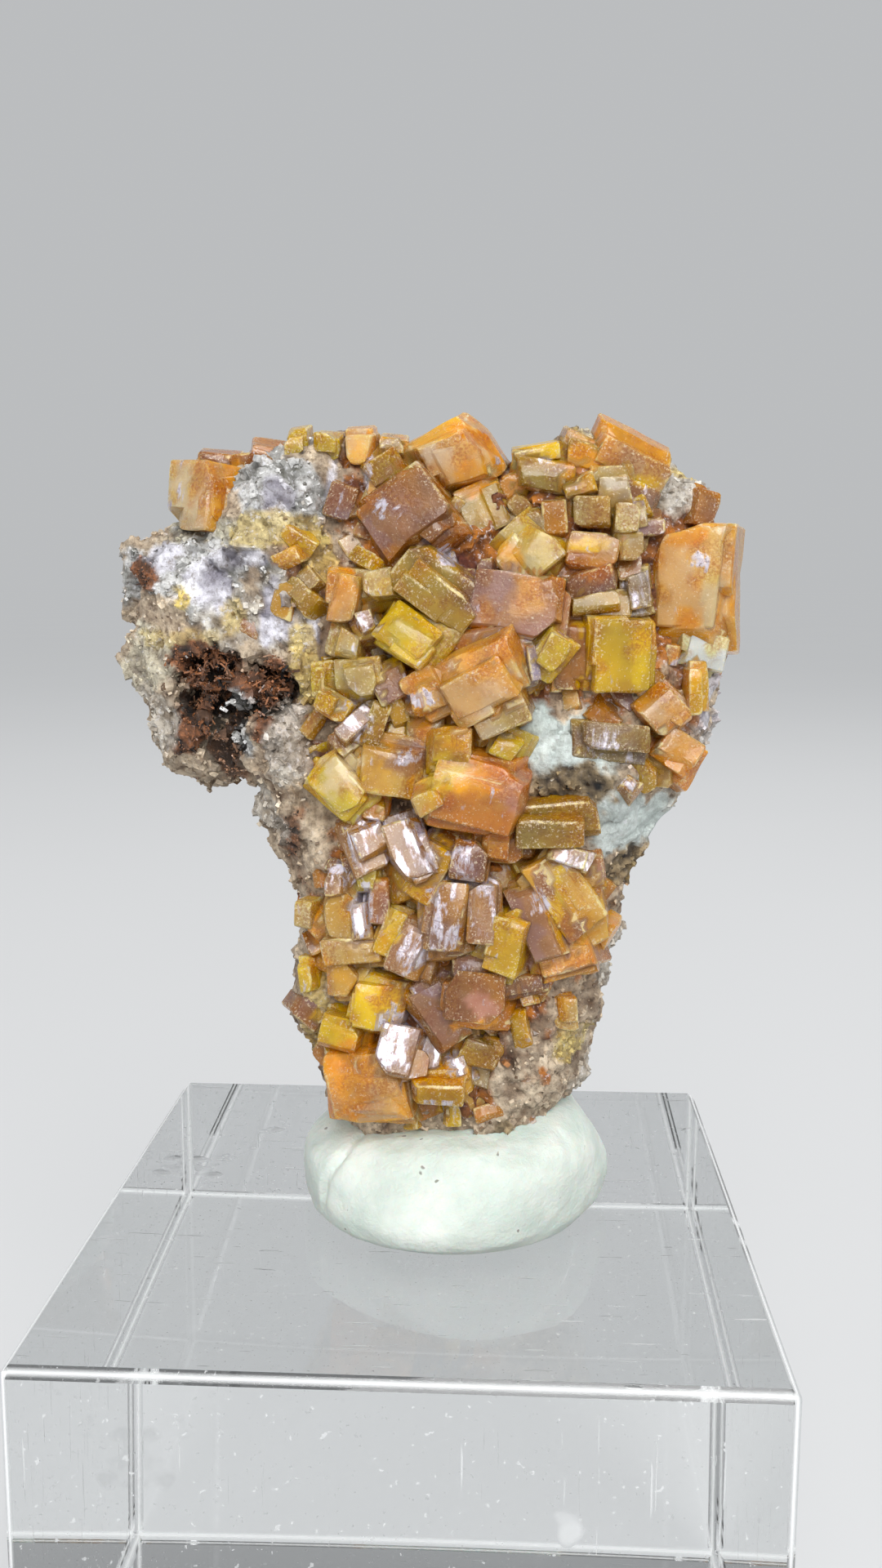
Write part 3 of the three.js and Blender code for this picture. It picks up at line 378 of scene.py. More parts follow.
# The rock's flat faces: size, how much they stand out, how much their tones differ, seed
FACETS = [(1.7, 0.8, 0.9, 80), (0.75, 0.6, 0.7, 90)]
SMALL_COLOURS = ["gold", "honey", "amber", "orange", "olive", "brown", "mauve", "yellow", "tan"]
# Where each kind shows on the front: kind, middle (x, z), radii, how strong it is
ROCK_PATCHES = [
    ("crust", 5.6, 38.0, 11.6, 8.0, 1.0),
    ("crust", 1.0, 30.0, 6.6, 5.0, 1.0),
    ("crust", 2.6, 20.4, 7.6, 6.0, 1.0),
    ("crust", 0.4, 11.6, 5.8, 5.0, 1.0),
    ("crust", 13.8, 30.0, 2.2, 3.2, 0.9),
    ("crust", -6.0, 37.4, 1.8, 2.8, 0.7),
    ("pale", -11.0, 39.6, 3.2, 1.2, 1.0),
    ("druse", -11.6, 37.2, 4.4, 2.2, 1.0),
    ("druse", -7.2, 42.2, 3.0, 2.6, 1.0),
    ("druse", -4.6, 41.6, 1.0, 1.2, 0.8),
    ("crust", -3.6, 42.0, 1.3, 2.4, 1.0),
    ("white", -8.4, 35.6, 3.4, 2.0, 0.8),
    ("pale", -15.0, 32.8, 2.0, 2.0, 0.8),
    ("silver", -11.0, 36.7, 1.3, 1.1, 1.0),
    ("silver", -13.8, 38.6, 1.1, 0.8, 0.9),
    ("silver", -9.1, 38.4, 1.2, 0.6, 0.8),
    ("silver", -7.2, 41.6, 1.0, 0.9, 0.9),
    ("silver", -7.7, 35.4, 0.9, 1.5, 1.0),
    ("silver", -5.5, 35.1, 0.5, 1.7, 1.0),
    ("silver", -2.6, 43.0, 0.5, 0.6, 1.0),
    ("silver", -4.6, 42.6, 0.5, 1.5, 0.9),
    ("silver", 16.0, 31.0, 0.7, 2.2, 0.9),
    ("stain", -7.4, 39.9, 2.8, 0.9, 0.75),
    ("stain", -5.2, 38.2, 1.2, 1.7, 0.75),
    ("stain", -9.6, 35.4, 0.7, 1.0, 0.7),
    ("stain", -12.6, 36.2, 0.5, 0.7, 1.0),
    ("stain", -12.8, 34.2, 2.0, 0.5, 0.5),
    ("stain", -5.9, 32.6, 0.9, 2.0, 0.8),
    ("rust", -14.8, 37.3, 0.7, 0.9, 1.0),
    ("rust", -11.6, 32.6, 1.4, 1.2, 1.0),
    ("rust", -8.9, 31.6, 2.4, 1.7, 1.0),
    ("rust", -7.9, 29.4, 1.3, 1.7, 1.0),
    ("rust", -11.8, 30.4, 1.1, 1.1, 0.9),
    ("rust", -12.6, 28.8, 0.9, 1.0, 1.0),
    ("rust", -10.6, 28.0, 1.3, 2.0, 0.8),
    ("druse", -9.7, 30.8, 1.0, 0.7, 1.0),
    ("druse", -9.5, 28.4, 0.8, 1.1, 1.0),
    ("white", -14.4, 29.6, 1.0, 1.8, 0.8),
    ("white", -7.2, 28.2, 1.3, 2.2, 0.8),
    ("rust", -7.0, 23.6, 0.9, 1.4, 0.8),
    ("white", -8.3, 24.4, 1.0, 1.5, 0.8),
    ("pale", 9.6, 45.0, 3.4, 0.8, 1.0),
    ("stain", 8.2, 44.7, 1.2, 0.6, 0.9),
    ("white", 14.2, 42.3, 1.7, 1.3, 1.0),
    ("stain", 15.0, 43.0, 0.9, 0.5, 0.9),
    ("stain", -5.4, 12.6, 1.4, 2.4, 0.7),
    ("calcite", 8.0, 28.3, 2.6, 2.4, 1.0),
    ("calcite", 10.8, 24.2, 4.6, 2.0, 1.0),
    ("porous", 8.0, 26.1, 2.6, 1.4, 1.0),
    ("porous", 12.4, 21.4, 2.6, 1.1, 1.0),
    ("stain", 13.0, 19.8, 0.7, 1.8, 0.8),
    ("white", 11.0, 15.6, 1.2, 2.2, 0.8),
    ("white", 9.8, 8.0, 1.0, 2.6, 0.8),
    ("stain", 8.7, 10.8, 0.9, 1.4, 0.8),
    ("porous", 5.0, 5.4, 0.7, 2.0, 1.0),
    ("white", 15.6, 26.0, 1.4, 3.0, 0.7),
]

# Creases in the putty: where round it (degrees), slant, lowest and highest point, depth
PUTTY_CREASES = [(214, 1.2, 0.6, 5.0, 0.3), (228, -2.0, 3.2, 6.2, 0.2), (318, 1.5, 3.5, 6.4, 0.18)]

# A material name for each cluster
SLOTS = dict.fromkeys(CRYSTALS, "orange_crystal")
SLOTS["centre_crystals"] = SLOTS["shiny_prisms"] = "brown_crystal"
for cluster_name in ("upper_right", "yellow_square", "left_front", "yellow_rhomb", "left_column"):
    SLOTS[cluster_name + "_crystals"] = "yellow_crystal"

# Grains of the rock, and fibres in its hollow: share on each kind of surface, how many,
# smallest and largest size, proportions, seed
GRAIN_SHARE = {"beige": 0.5, "druse": 1, "pale": 1, "stain": 0.5, "white": 1, "porous": 0.4}
GRAINS = {
    "fine_grains": (GRAIN_SHARE, 9000, (0.18, 0.5), (1, 0.9, 0.7), 301),
    "fuzz": ({"rust": 1}, 5000, (0.25, 0.7), (1, 0.16, 0.2), 302),
}

# Seeds of the clusters, of the crystals on the rock and the back, and of the small ones
CLUSTER_SEED = 100
OTHER_SEED = 200
SMALL_SEED = 203

# Edges sharper than this, in degrees, stay crisp
SHARP = {"crystals": 24, "block": 30, "rock": 35, "putty": 60}

# Studio, in metres: the light from all round, what of it comes from above and what the floor gives
# back, and the lamps' place, size, power and colour
SURROUNDINGS = (0.96, 0.98, 1.0)
SURROUNDINGS_STRENGTH = 0.52
TOP_SHARE = 0.25
FLOOR_SHARE = 0.85
LAMPS = {
    "key": ((0.06, -0.3, 0.27), (0.34, 0.26), 1.8, (1, 1, 1)),
    "fill": ((-0.4, -0.2, 0.2), (0.3, 0.3), 0.4, (0.93, 0.96, 1)),
    "back": ((0.12, 0.22, 0.55), (0.3, 0.3), 1.6, (1, 1, 1)),
}
LAMPS_TARGET = (0, 0, 0.05)
FLOOR_HALF = 30
# The floor is this far below the block, in millimetres, so that the two don't touch
FLOOR_DROP = 0.1
# Camera: place in metres, turns in degrees, focal length and sensor in millimetres
CAMERA_PLACE = (0.00502, -0.07718, 0.06223)
CAMERA_TURNS = (90 - 8.27, -0.16, 2.87)
CAMERA_LENS = 30.85
CAMERA_SENSOR = 36
CAMERA_NEAR = 0.005


def linear(code):
    """A colour such as #c87020 as linear red, green and blue."""
    values = [int(code[i : i + 2], 16) / 255 for i in (1, 3, 5)]
    return np.array([v / 12.92 if v < 0.04 else ((v + 0.055) / 1.055) ** 2.4 for v in values])


# Noise


def lattice(x, y, z, seed):
    """A random number from 0 to 1 for each whole-number point."""
    h = (x * 374761393 + y * 668265263 + z * 362437 + seed * 974634777) & 0xFFFFFFFF
    h = ((h ^ (h >> 13)) * 1274126177) & 0xFFFFFFFF
    return ((h ^ (h >> 16)) & 0xFFFF) / 65535


def noise(points, size, seed=0):
    """Smooth noise from -1 to 1, in lumps of about the given size."""
    scaled = points / size + 37.3 * seed
    base = np.floor(scaled).astype(np.int64)
    part = scaled - base
    part = part * part * (3 - 2 * part)
    total = np.zeros(points.shape[:-1])
    for corner in itertools.product((0, 1), repeat=3):
        weight = np.ones_like(total)
        for axis in range(3):
            weight = weight * (part[..., axis] if corner[axis] else 1 - part[..., axis])
        x, y, z = (base[..., axis] + corner[axis] for axis in range(3))
        total += weight * lattice(x, y, z, seed)
    return 2 * total - 1


def rough(points, size, octaves, seed=0):
    """Noise with finer and fainter lumps added to it."""
    total = 0
    for octave in range(octaves):
        total = total + noise(points, size * 0.5**octave, seed + octave) * 0.55**octave
    return total


def smooth(low, high, value):
    """From 0 at low to 1 at high, levelling off at both."""
    t = np.clip((value - low) / (high - low), 0, 1)
    return t * t * (3 - 2 * t)


def facets(points, size, seed):
    """Flat, tilted faces of about the given size: each point's height on its face,
    and a number from 0 to 1 that all of the face shares."""
    scaled = points / size
    base = np.floor(scaled).astype(np.int64)
    nearest = np.full(len(points), np.inf)
    height = np.zeros(len(points))
    number = np.zeros(len(points))
    for offset in itertools.product((-1, 0, 1), repeat=3):
        cell = (base + offset).T
        middle = (base + offset) + np.stack([lattice(*cell, seed + i) for i in range(3)], axis=-1)
        tilt = np.stack([lattice(*cell, seed + i) for i in (3, 4, 5)], axis=-1) - 0.5
        away = scaled - middle
        far = (away**2).sum(axis=1)
        closer = far < nearest
        nearest[closer] = far[closer]
        height[closer] = (away * tilt).sum(axis=1)[closer]
        number[closer] = lattice(*cell, seed + 6)[closer]
    return size * height, number


# Meshes


def make_object(name, points, faces, material, body="root"):
    """A mesh from points in millimetres above the block's top, riding on the specimen."""
    mesh = bpy.data.meshes.new(name)
    placed = (np.asarray(points) + (0, 0, BLOCK_HEIGHT)) * MM
    mesh.from_pydata(placed.tolist(), [], faces if isinstance(faces, list) else faces.tolist())
    mesh.materials.append(material)
    mesh.update()
    piece = bpy.data.objects.new(name, mesh)
    bpy.context.scene.collection.objects.link(piece)
    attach(piece, body)
    return piece


def shade(piece, angle):
    """Smooth shading, with edges sharper than the angle kept crisp."""
    mesh = piece.data
    mesh.polygons.foreach_set("use_smooth", [True] * len(mesh.polygons))
    mesh.set_sharp_from_angle(angle=math.radians(angle))


def store(mesh, name, kind, values):
    """Keeps one value for each point of a mesh, for its material to read."""
    layer = mesh.attributes.new(name, kind, "POINT")
    field = {"FLOAT": "value", "FLOAT_VECTOR": "vector", "FLOAT_COLOR": "color"}[kind]
    if kind == "FLOAT_COLOR":
        values = np.column_stack([values, np.ones(len(values))])
    layer.data.foreach_set(field, np.asarray(values, dtype=np.float32).ravel())


def mesh_points(mesh):
    """A mesh's points in millimetres from the middle of the block's top face."""
    flat = np.empty(3 * len(mesh.vertices), dtype=np.float32)
    mesh.vertices.foreach_get("co", flat)
    return flat.reshape(-1, 3) / MM - (0, 0, BLOCK_HEIGHT)


# Crystals


def crystal_axes(row):
    """The directions of a crystal's width, depth and height, as the columns of a matrix."""
    left, up, turn = (math.radians(-angle) for angle in row[7:10])
    about_z = [[math.cos(left), -math.sin(left), 0], [math.sin(left), math.cos(left), 0], [0, 0, 1]]
    about_x = [[1, 0, 0], [0, math.cos(up), -math.sin(up)], [0, math.sin(up), math.cos(up)]]
    about_y = [[math.cos(turn), 0, math.sin(turn)], [0, 1, 0], [-math.sin(turn), 0, math.cos(turn)]]
    return np.array(about_z) @ np.array(about_x) @ np.array(about_y)


def place_in(points, row):
    """Where points are from the middle of a crystal, along its axes, and the crystal's half sizes."""
    half = np.array([row[4], row[6], row[5]]) / 2
    return (points - np.array(row[1:4])) @ crystal_axes(row) - (0, half[1], 0), half


def block_mesh(size, bevel, cell):
    """Points and faces of a block about its middle, its edges broken, in cells of about that size."""
    lines = []
    for length in size:
        inner = length - 2 * bevel
        steps = np.linspace(-inner / 2, inner / 2, max(1, round(inner / cell)) + 1)
        lines.append(np.concatenate([[-length / 2], steps, [length / 2]]))
    points = np.stack(np.meshgrid(*lines, indexing="ij"), axis=-1)
    ends = np.abs(points) >= np.array(size) / 2 - 1e-9
    edge = ends.sum(axis=-1, keepdims=True) > 1
    points = np.where(ends & edge, points - np.sign(points) * bevel / 2, points)
    number = np.arange(points[..., 0].size).reshape(points.shape[:3])
    faces = []
    for axis in range(3):
        for end in (0, -1):
            side = np.take(number, end, axis=axis)
            ring = [side[:-1, :-1], side[1:, :-1], side[1:, 1:], side[:-1, 1:]]
            if (end == 0) != (axis == 1):
                ring.reverse()
            faces.append(np.stack(ring, axis=-1).reshape(-1, 4))
    faces = np.concatenate(faces)
    used, faces = np.unique(faces, return_inverse=True)
    return points.reshape(-1, 3)[used], faces.reshape(-1, 4)


def cut(points, normal, reach):
    """Flattens what lies past a plane onto it."""
    normal = normal / np.linalg.norm(normal)
    over = np.maximum(points @ normal - reach, 0)
    return points - over[:, None] * normal


def with_growth(row, random):
    """A crystal's row, that of the wider block it grows out of, and those of thin parallel steps.
    The wider block is held back near the rock's outline."""
    width, height, depth = row[4:7]
    small = min(width, height)
    axes = crystal_axes(row)
    room = smooth(*FOOT_ROOM, outline_distance(np.array(row[1:2]), np.array(row[3:4])))
    wider = random.uniform(*FOOT_WIDER, 2) * (0.2 + 0.8 * room) * min(small, 2.2) / 2
    back = random.uniform(*FOOT_BACK) * min(small, 2.0)
    shift = axes @ np.array([random.uniform(-0.3, 0.3), back, random.uniform(-0.3, 0.3)])
    lean = random.uniform(-FOOT_LEAN, FOOT_LEAN, 3)
    foot = (
        row[0],
        *(np.array(row[1:4]) + shift),
        *(np.array([width, height]) + wider),
        depth - back,
        *(np.array(row[7:10]) + lean),
        row[10],
    )
    rows = [row, foot]
    for _ in range(int(small / 2)):
        size = random.uniform(*STEP_SIZES, 3) * (width, height, depth)
        out = random.uniform(*STEP_OUT, 2)
        place = random.choice([-1, 1], 2) * ((np.array([width, height]) - size[:2]) / 2 + out)
        middle = np.array(row[1:4]) + axes @ np.array([place[0], random.uniform(-0.07, 0.3), place[1]])
        rows.append((row[0], *middle, *size, *row[7:11]))
    return rows


def crystal_mesh(row, random):
    """Points and faces of one crystal: an uneven block with cut corners."""
    width, height, depth = row[4:7]
    size = np.array([width, depth, height])
    cell = CRYSTAL_CELL if min(width, height) > NARROW_WIDTH else NARROW_CELL
    points, faces = block_mesh(size, CRYSTAL_BEVEL * min(1, min(width, height) / 1.6), cell)
    taper = random.uniform(-0.03, 0.14, 2)
    forward = 0.5 - points[:, 1] / depth
    points[:, 0] *= 1 - taper[0] * forward
    points[:, 2] *= 1 - taper[1] * forward
    points[:, 0] += random.uniform(-0.1, 0.1) * points[:, 2]
    for _ in range(CORNER_CUTS):
        corner = random.choice([-1, 1], 3)
        corner[1] = -1
        lean = corner * random.uniform(0.15, 1.0, 3)
        lean[random.integers(0, 3)] *= 0.12
        normal = lean / np.linalg.norm(lean)
        reach = np.abs(normal) @ (size / 2)
        points = cut(points, normal, reach - random.uniform(*CUT_DEPTH) * min(width, height))
    seed = int(random.integers(1, 900))
    warp = np.stack([noise(points + 9 * axis, WARP_SIZE, seed) for axis in range(3)], axis=-1)
    points = points + CRYSTAL_WARP * warp
    points[:, 1] += depth / 2
    return points @ crystal_axes(row).T + np.array(row[1:4]), faces


def join_solids(base, others):
    """Joins overlapping closed meshes into one surface."""
    for other in others:
        modifier = base.modifiers.new("join", "BOOLEAN")
        modifier.operation = "UNION"
        modifier.solver = "MANIFOLD"
        modifier.object = other
    depsgraph = bpy.context.evaluated_depsgraph_get()
    joined = bpy.data.meshes.new_from_object(base.evaluated_get(depsgraph))
    base.modifiers.clear()
    base.data = joined
    for other in others:
        bpy.data.objects.remove(other)


def nearest_crystal(points, rows):
    """For each point: the crystal whose surface it lies on, its place in that crystal,
    and the crystal's half sizes."""
    best = np.full(len(points), np.inf)
    which = np.zeros(len(points), dtype=int)
    local = np.zeros((len(points), 3))
    half = np.zeros((len(points), 3))
    for i, row in enumerate(rows):
        place, size = place_in(points, row)
        far = np.abs((np.abs(place) - size).max(axis=1))
        closer = far < best - 0.02
        best[closer] = far[closer]
        which[closer] = i
        local[closer] = place[closer]
        half[closer] = size
    return which, local, half


def spot(points, x, z, rx, rz, ragged):
    """How much a ragged spot, seen from the front, covers each point."""
    far = np.hypot((points[:, 0] - x) / rx, (points[:, 2] - z) / rz) + ragged
    return smooth(*SPOT_END, far) * smooth(*SPOT_BACK, points[:, 1])


def paint_crystals(mesh, rows, seed):
    """Keeps on each point its colour, with painted sheen and light in it, place in its crystal, distance
    from an edge and shine, which marks painted reflections.
    """
    points = mesh_points(mesh)
    which, local, half = nearest_crystal(points, rows)
    body = np.array([linear(COLOURS[row[10]][0]) for row in rows])[which]
    zone = np.array([linear(COLOURS[row[10]][1]) for row in rows])[which]
    names = {name: i for i, name in enumerate(dict.fromkeys(row[0] for row in rows))}
    number = np.array([names[row[0]] for row in rows])[which]
    random = np.random.default_rng(seed)
    lean = random.normal(size=(len(names), 3)) * (1, 0.3, 1)
    bright = random.uniform(0.9, 1.12, len(names))
    across = ((local / half) * (lean / np.linalg.norm(lean, axis=1)[:, None])[number]).sum(axis=1)
    mix = smooth(-0.35, 0.55, across + 0.6 * rough(points, 1.8, 3, seed))
    inside = np.sort(half - np.abs(local), axis=1)
    # Painted sheen and light: the zone colour covers the front faces most, the sides are made more
    # saturated and the top faces lighter and yellower
    front = smooth(0.3, 0.05, half[:, 1] + local[:, 1])
    top = smooth(0.3, 0.05, half[:, 2] - local[:, 2]) * (1 - front)
    mix = np.clip(0.3 * mix * (1 - front) + (0.4 + 0.6 * mix) * front, 0, 1)
    colour = body + (zone - body) * mix[:, None]
    colour *= 1 + (1 - front)[:, None] * (0.04, -0.02, -0.45) + top[:, None] * (0.16, 0.16, 0.0)
    bright = bright[number] * (1 + 0.16 * rough(points, 1.4, 3, seed + 5))
    # Where the painted mirror-like reflections go, mostly on the front
    painted_mirror_share = np.array([SHINE.get(row[10], USUAL_SHINE) for row in rows])[which] * (0.35 + 0.65 * front)
    ragged = 0.5 * rough(points, 0.8, 3, 31)
    for name, *place in CRYSTAL_SPOTS:
        amount = SPOT_STRENGTH * spot(points, *place, ragged)[:, None]
        colour += (linear(SPOT_COLOURS[name]) - colour) * amount
    for place in MIRRORS:
        painted_mirror_share = np.maximum(painted_mirror_share, MIRROR_STRENGTH * spot(points, *place, ragged))
    store(mesh, "tint", "FLOAT_COLOR", np.clip(colour * bright[:, None], 0, 1))
    store(mesh, "place", "FLOAT_VECTOR", local + 7.0 * number[:, None])
    store(mesh, "inset", "FLOAT", np.clip(inside[:, 1], 0, 1))
    store(mesh, "shine", "FLOAT", painted_mirror_share)


def crystal_cluster(name, rows, material, seed):
    """Crystals that grew through one another, as one piece."""
    random = np.random.default_rng(seed)
    grown = [one for row in rows for one in with_growth(row, random)]
    parts = [make_object(name, *crystal_mesh(row, random), material) for row in grown]
    join_solids(parts[0], parts[1:])
    parts[0].name = name
    paint_crystals(parts[0].data, grown, seed)
    shade(parts[0], SHARP["crystals"])
    return parts[0]


# Rock


def outline_distance(x, z):
    """How far points are inside the rock's outline; under 0 outside it."""
    nearest = np.full(x.shape, np.inf)
    inside = np.zeros(x.shape, dtype=bool)
    for (x0, z0), (x1, z1) in zip(ROCK_OUTLINE, ROCK_OUTLINE[1:] + ROCK_OUTLINE[:1]):
        along = ((x - x0) * (x1 - x0) + (z - z0) * (z1 - z0)) / ((x1 - x0) ** 2 + (z1 - z0) ** 2)
        t = np.clip(along, 0, 1)
        nearest = np.minimum(nearest, np.hypot(x - x0 - t * (x1 - x0), z - z0 - t * (z1 - z0)))
        if z0 != z1:
            inside ^= ((z0 > z) != (z1 > z)) & (x < x0 + (z - z0) / (z1 - z0) * (x1 - x0))
    return np.where(inside, nearest, -nearest)


def rock_reach(x, y, z):
    """How far the rock reaches along y from its middle plane."""
    share = np.clip((x - CRUST_START) / CRUST_BLEND, 0, 1)
    reach = ROCK_FRONT + (CRUST_FRONT - ROCK_FRONT) * share
    for bx, bz, rx, rz, height in BULGES:
        reach = reach + height * np.exp(-(((x - bx) / rx) ** 2) - ((z - bz) / rz) ** 2)
    return np.where(y > 0, ROCK_BACK, reach)


def outside(points, ball):
    """How far points are outside a rounded space, as a share of its radii; under 0 inside it."""
    return np.linalg.norm((points - ball[:3]) / ball[3:], axis=-1) - 1


def rock_field(points):
    """Over 0 inside the rock."""
    x, y, z = points[..., 0], points[..., 1], points[..., 2]
    distance = outline_distance(x[:, 0, :], z[:, 0, :])[:, None, :] - ROCK_GRIT
    inside = np.clip(distance / ROCK_EDGE, -1, 1)
    reach = rock_reach(x, y, z)
    lumps = (
        0.5 * np.sin(0.9 * x + 0.5 * z + 0.4) * np.sin(0.8 * z - 0.5 * y + 1.1)
        + 0.3 * np.sin(1.6 * x - 0.7 * y + 2.0) * np.sin(1.4 * z + 0.8 * x)
        + 0.2 * np.sin(2.3 * z + 1.1 * y) * np.sin(2.1 * x + 0.9 * z + 0.7)
    )
    whole = 1 - (1 - inside) ** 2 - (y / reach) ** 2 + ROCK_LUMP * lumps
    for row in ROCK_BLOCKS:
        place, half = place_in(points, row)
        whole = np.maximum(whole, -0.35 * (np.abs(place) - half).max(axis=-1))
    close = np.abs(whole) < 0.4
    whole[close] += 0.09 * rough(points[close], 2.2, 3, 11)
    hollowed = whole
    for ball in HOLLOW:
        hollowed = np.minimum(hollowed, 0.8 * outside(points, np.array(ball)))
    open_part = (hollowed < 0.1) & (whole > 0)
    walls = np.full(x.shape, -1.0)
    spots = points[open_part]
    walls[open_part] = 0.05 - np.abs(noise(spots, 1.5, 21) + 0.35 * noise(spots, 0.6, 22))
    return np.maximum(hollowed, np.minimum(whole - 0.2, 0.8 * walls))


def skin(values, low, cell):
    """Points and four-sided faces where a 3-D array of values passes zero."""
    shape = np.array(values.shape) - 1
    solid = values > 0
    total = np.zeros((*shape, 3))
    crossings = np.zeros(shape)

    def corner(offset):
        return values[tuple(slice(o, o + n) for o, n in zip(offset, shape))]

    for offset in itertools.product((0, 1), repeat=3):
        for axis in range(3):
            if offset[axis]:
                continue
            other = tuple(1 if i == axis else o for i, o in enumerate(offset))
            here, there = corner(offset), corner(other)
            crossed = (here > 0) != (there > 0)
            share = np.where(crossed, here / np.where(crossed, here - there, 1), 0)
            for i in range(3):
                total[..., i] += crossed * (share if i == axis else offset[i])
            crossings += crossed
    active = crossings > 0
    number = np.full(shape, -1)
    number[active] = np.arange(active.sum())
    points = low + cell * (np.argwhere(active) + total[active] / crossings[active][:, None])

    faces = []
    for axis in range(3):
        step = np.eye(3, dtype=int)
        near = solid[tuple(slice(0, -1) if i == axis else slice(None) for i in range(3))]
        far = solid[tuple(slice(1, None) if i == axis else slice(None) for i in range(3))]
        here = np.argwhere(near != far)
        u, v = (axis + 1) % 3, (axis + 2) % 3
        here = here[(here[:, u] > 0) & (here[:, v] > 0) & (here < shape).all(axis=1)]
        ring = [here - step[u] - step[v], here - step[v], here, here - step[u]]
        quads = np.stack([number[tuple(corners.T)] for corners in ring], axis=1)
        outward = solid[tuple(here.T)]
        faces.append(np.where(outward[:, None], quads, quads[:, ::-1]))
    return points, np.concatenate(faces)


def point_normals(points, faces):
    """The outward direction at each point of a surface."""
    across = points[faces[:, 2]] - points[faces[:, 0]]
    up = points[faces[:, 3]] - points[faces[:, 1]]
    flat = np.cross(across, up)
    normals = np.zeros_like(points)
    for column in range(4):
        np.add.at(normals, faces[:, column], flat)
    return normals / np.maximum(np.linalg.norm(normals, axis=1), 1e-9)[:, None]


def kind_weights(points):
    """How much of each kind of rock surface there is at each point. Later patches cover earlier ones."""
    kinds = list(ROCK_KINDS)
    weights = np.zeros((len(points), len(kinds)))
    weights[:, 0] = 1
    ragged = 0.6 * rough(points, 1.4, 4, 41)
    for kind, *place, strength in ROCK_PATCHES:
        amount = strength * spot(points, *place, ragged)
        weights *= 1 - amount[:, None]
        weights[:, kinds.index(kind)] += amount
    back = smooth(0.5, 3.0, points[:, 1]) * smooth(0.1, 0.6, rough(points, 4.0, 3, 51))
    weights *= 1 - back[:, None]
    weights[:, kinds.index("pale")] += back
    return weights


def rock_surface():
    """Points, faces, directions and kinds of the rock's surface, and the tone of each point."""
    lines = [np.arange(low, high, ROCK_CELL) for low, high in zip(ROCK_LOW, ROCK_HIGH)]
    grid = np.stack(np.meshgrid(*lines, indexing="ij"), axis=-1)
    points, faces = skin(rock_field(grid), np.array(ROCK_LOW), ROCK_CELL)
    weights = kind_weights(points)
    normals = point_normals(points, faces)
    height = np.zeros(len(points))
    for column, (_, _, size, depth, _, _) in enumerate(ROCK_KINDS.values()):
        height += weights[:, column] * depth * rough(points, size, 3, 60 + column)
    steep = weights @ np.array([kind[4] for kind in ROCK_KINDS.values()])
    # Tone is lighter where the surface rises and darker in its dents, painted light and shade; noise and
    # facets add tone at random
    tone = 0.5 + 1.6 * height + 0.4 * noise(points, 0.4, 71)
    for size, rise_share, tone_share, seed in FACETS:
        rise, face = facets(points + 0.25 * noise(points, 0.8, 75)[:, None], size, seed)
        height += steep * rise * rise_share
        tone += steep * (face - 0.5) * tone_share
    points = points + normals * height[:, None]
    return points, faces, point_normals(points, faces), weights, tone


def kind_colours(weights, tone):
    """The rock's colour at each point: tone runs from 0, dark, to 1, light."""
    light = np.array([linear(kind[0]) for kind in ROCK_KINDS.values()])
    dark = np.array([linear(kind[1]) for kind in ROCK_KINDS.values()])
    return (weights @ light) * tone[:, None] + (weights @ dark) * (1 - tone[:, None])


def rock(surface, material):
    """The rock, with its colours kept on its points, painted shade in its hollow included."""
    points, faces, _, weights, tone = surface
    piece = make_object("rock", points, faces, material)
    colour = kind_colours(weights, np.clip(tone, -0.1, 1.25))
    # Painted shade: the back of the hollow is darkened
    hole = np.min([outside(points, np.array(ball)) for ball in HOLLOW], axis=0)
    deep = smooth(0.3, 0.0, hole) * smooth(-4.6, -1.8, points[:, 1])
    colour = colour * ((1 - 0.85 * deep) * (1 + 0.18 * rough(points, 2.5, 3, 73)))[:, None]
    gloss = weights @ np.array([kind[5] for kind in ROCK_KINDS.values()])
    store(piece.data, "tint", "FLOAT_COLOR", np.clip(colour, 0, 1))
    store(piece.data, "shine", "FLOAT", np.clip(gloss * (0.2 + tone), 0, 1))
    store(piece.data, "grit", "FLOAT", 1 - 0.6 * weights[:, list(ROCK_KINDS).index("calcite")])
    shade(piece, SHARP["rock"])
    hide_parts("matrix")
    return piece


def clear_of_crystals(points, rows, gap):
    """Which points are further than the gap outside every crystal."""
    clear = np.ones(len(points), dtype=bool)
    for row in rows:
        place, half = place_in(points, row)
        clear &= (np.abs(place) - half).max(axis=1) > gap
    return clear


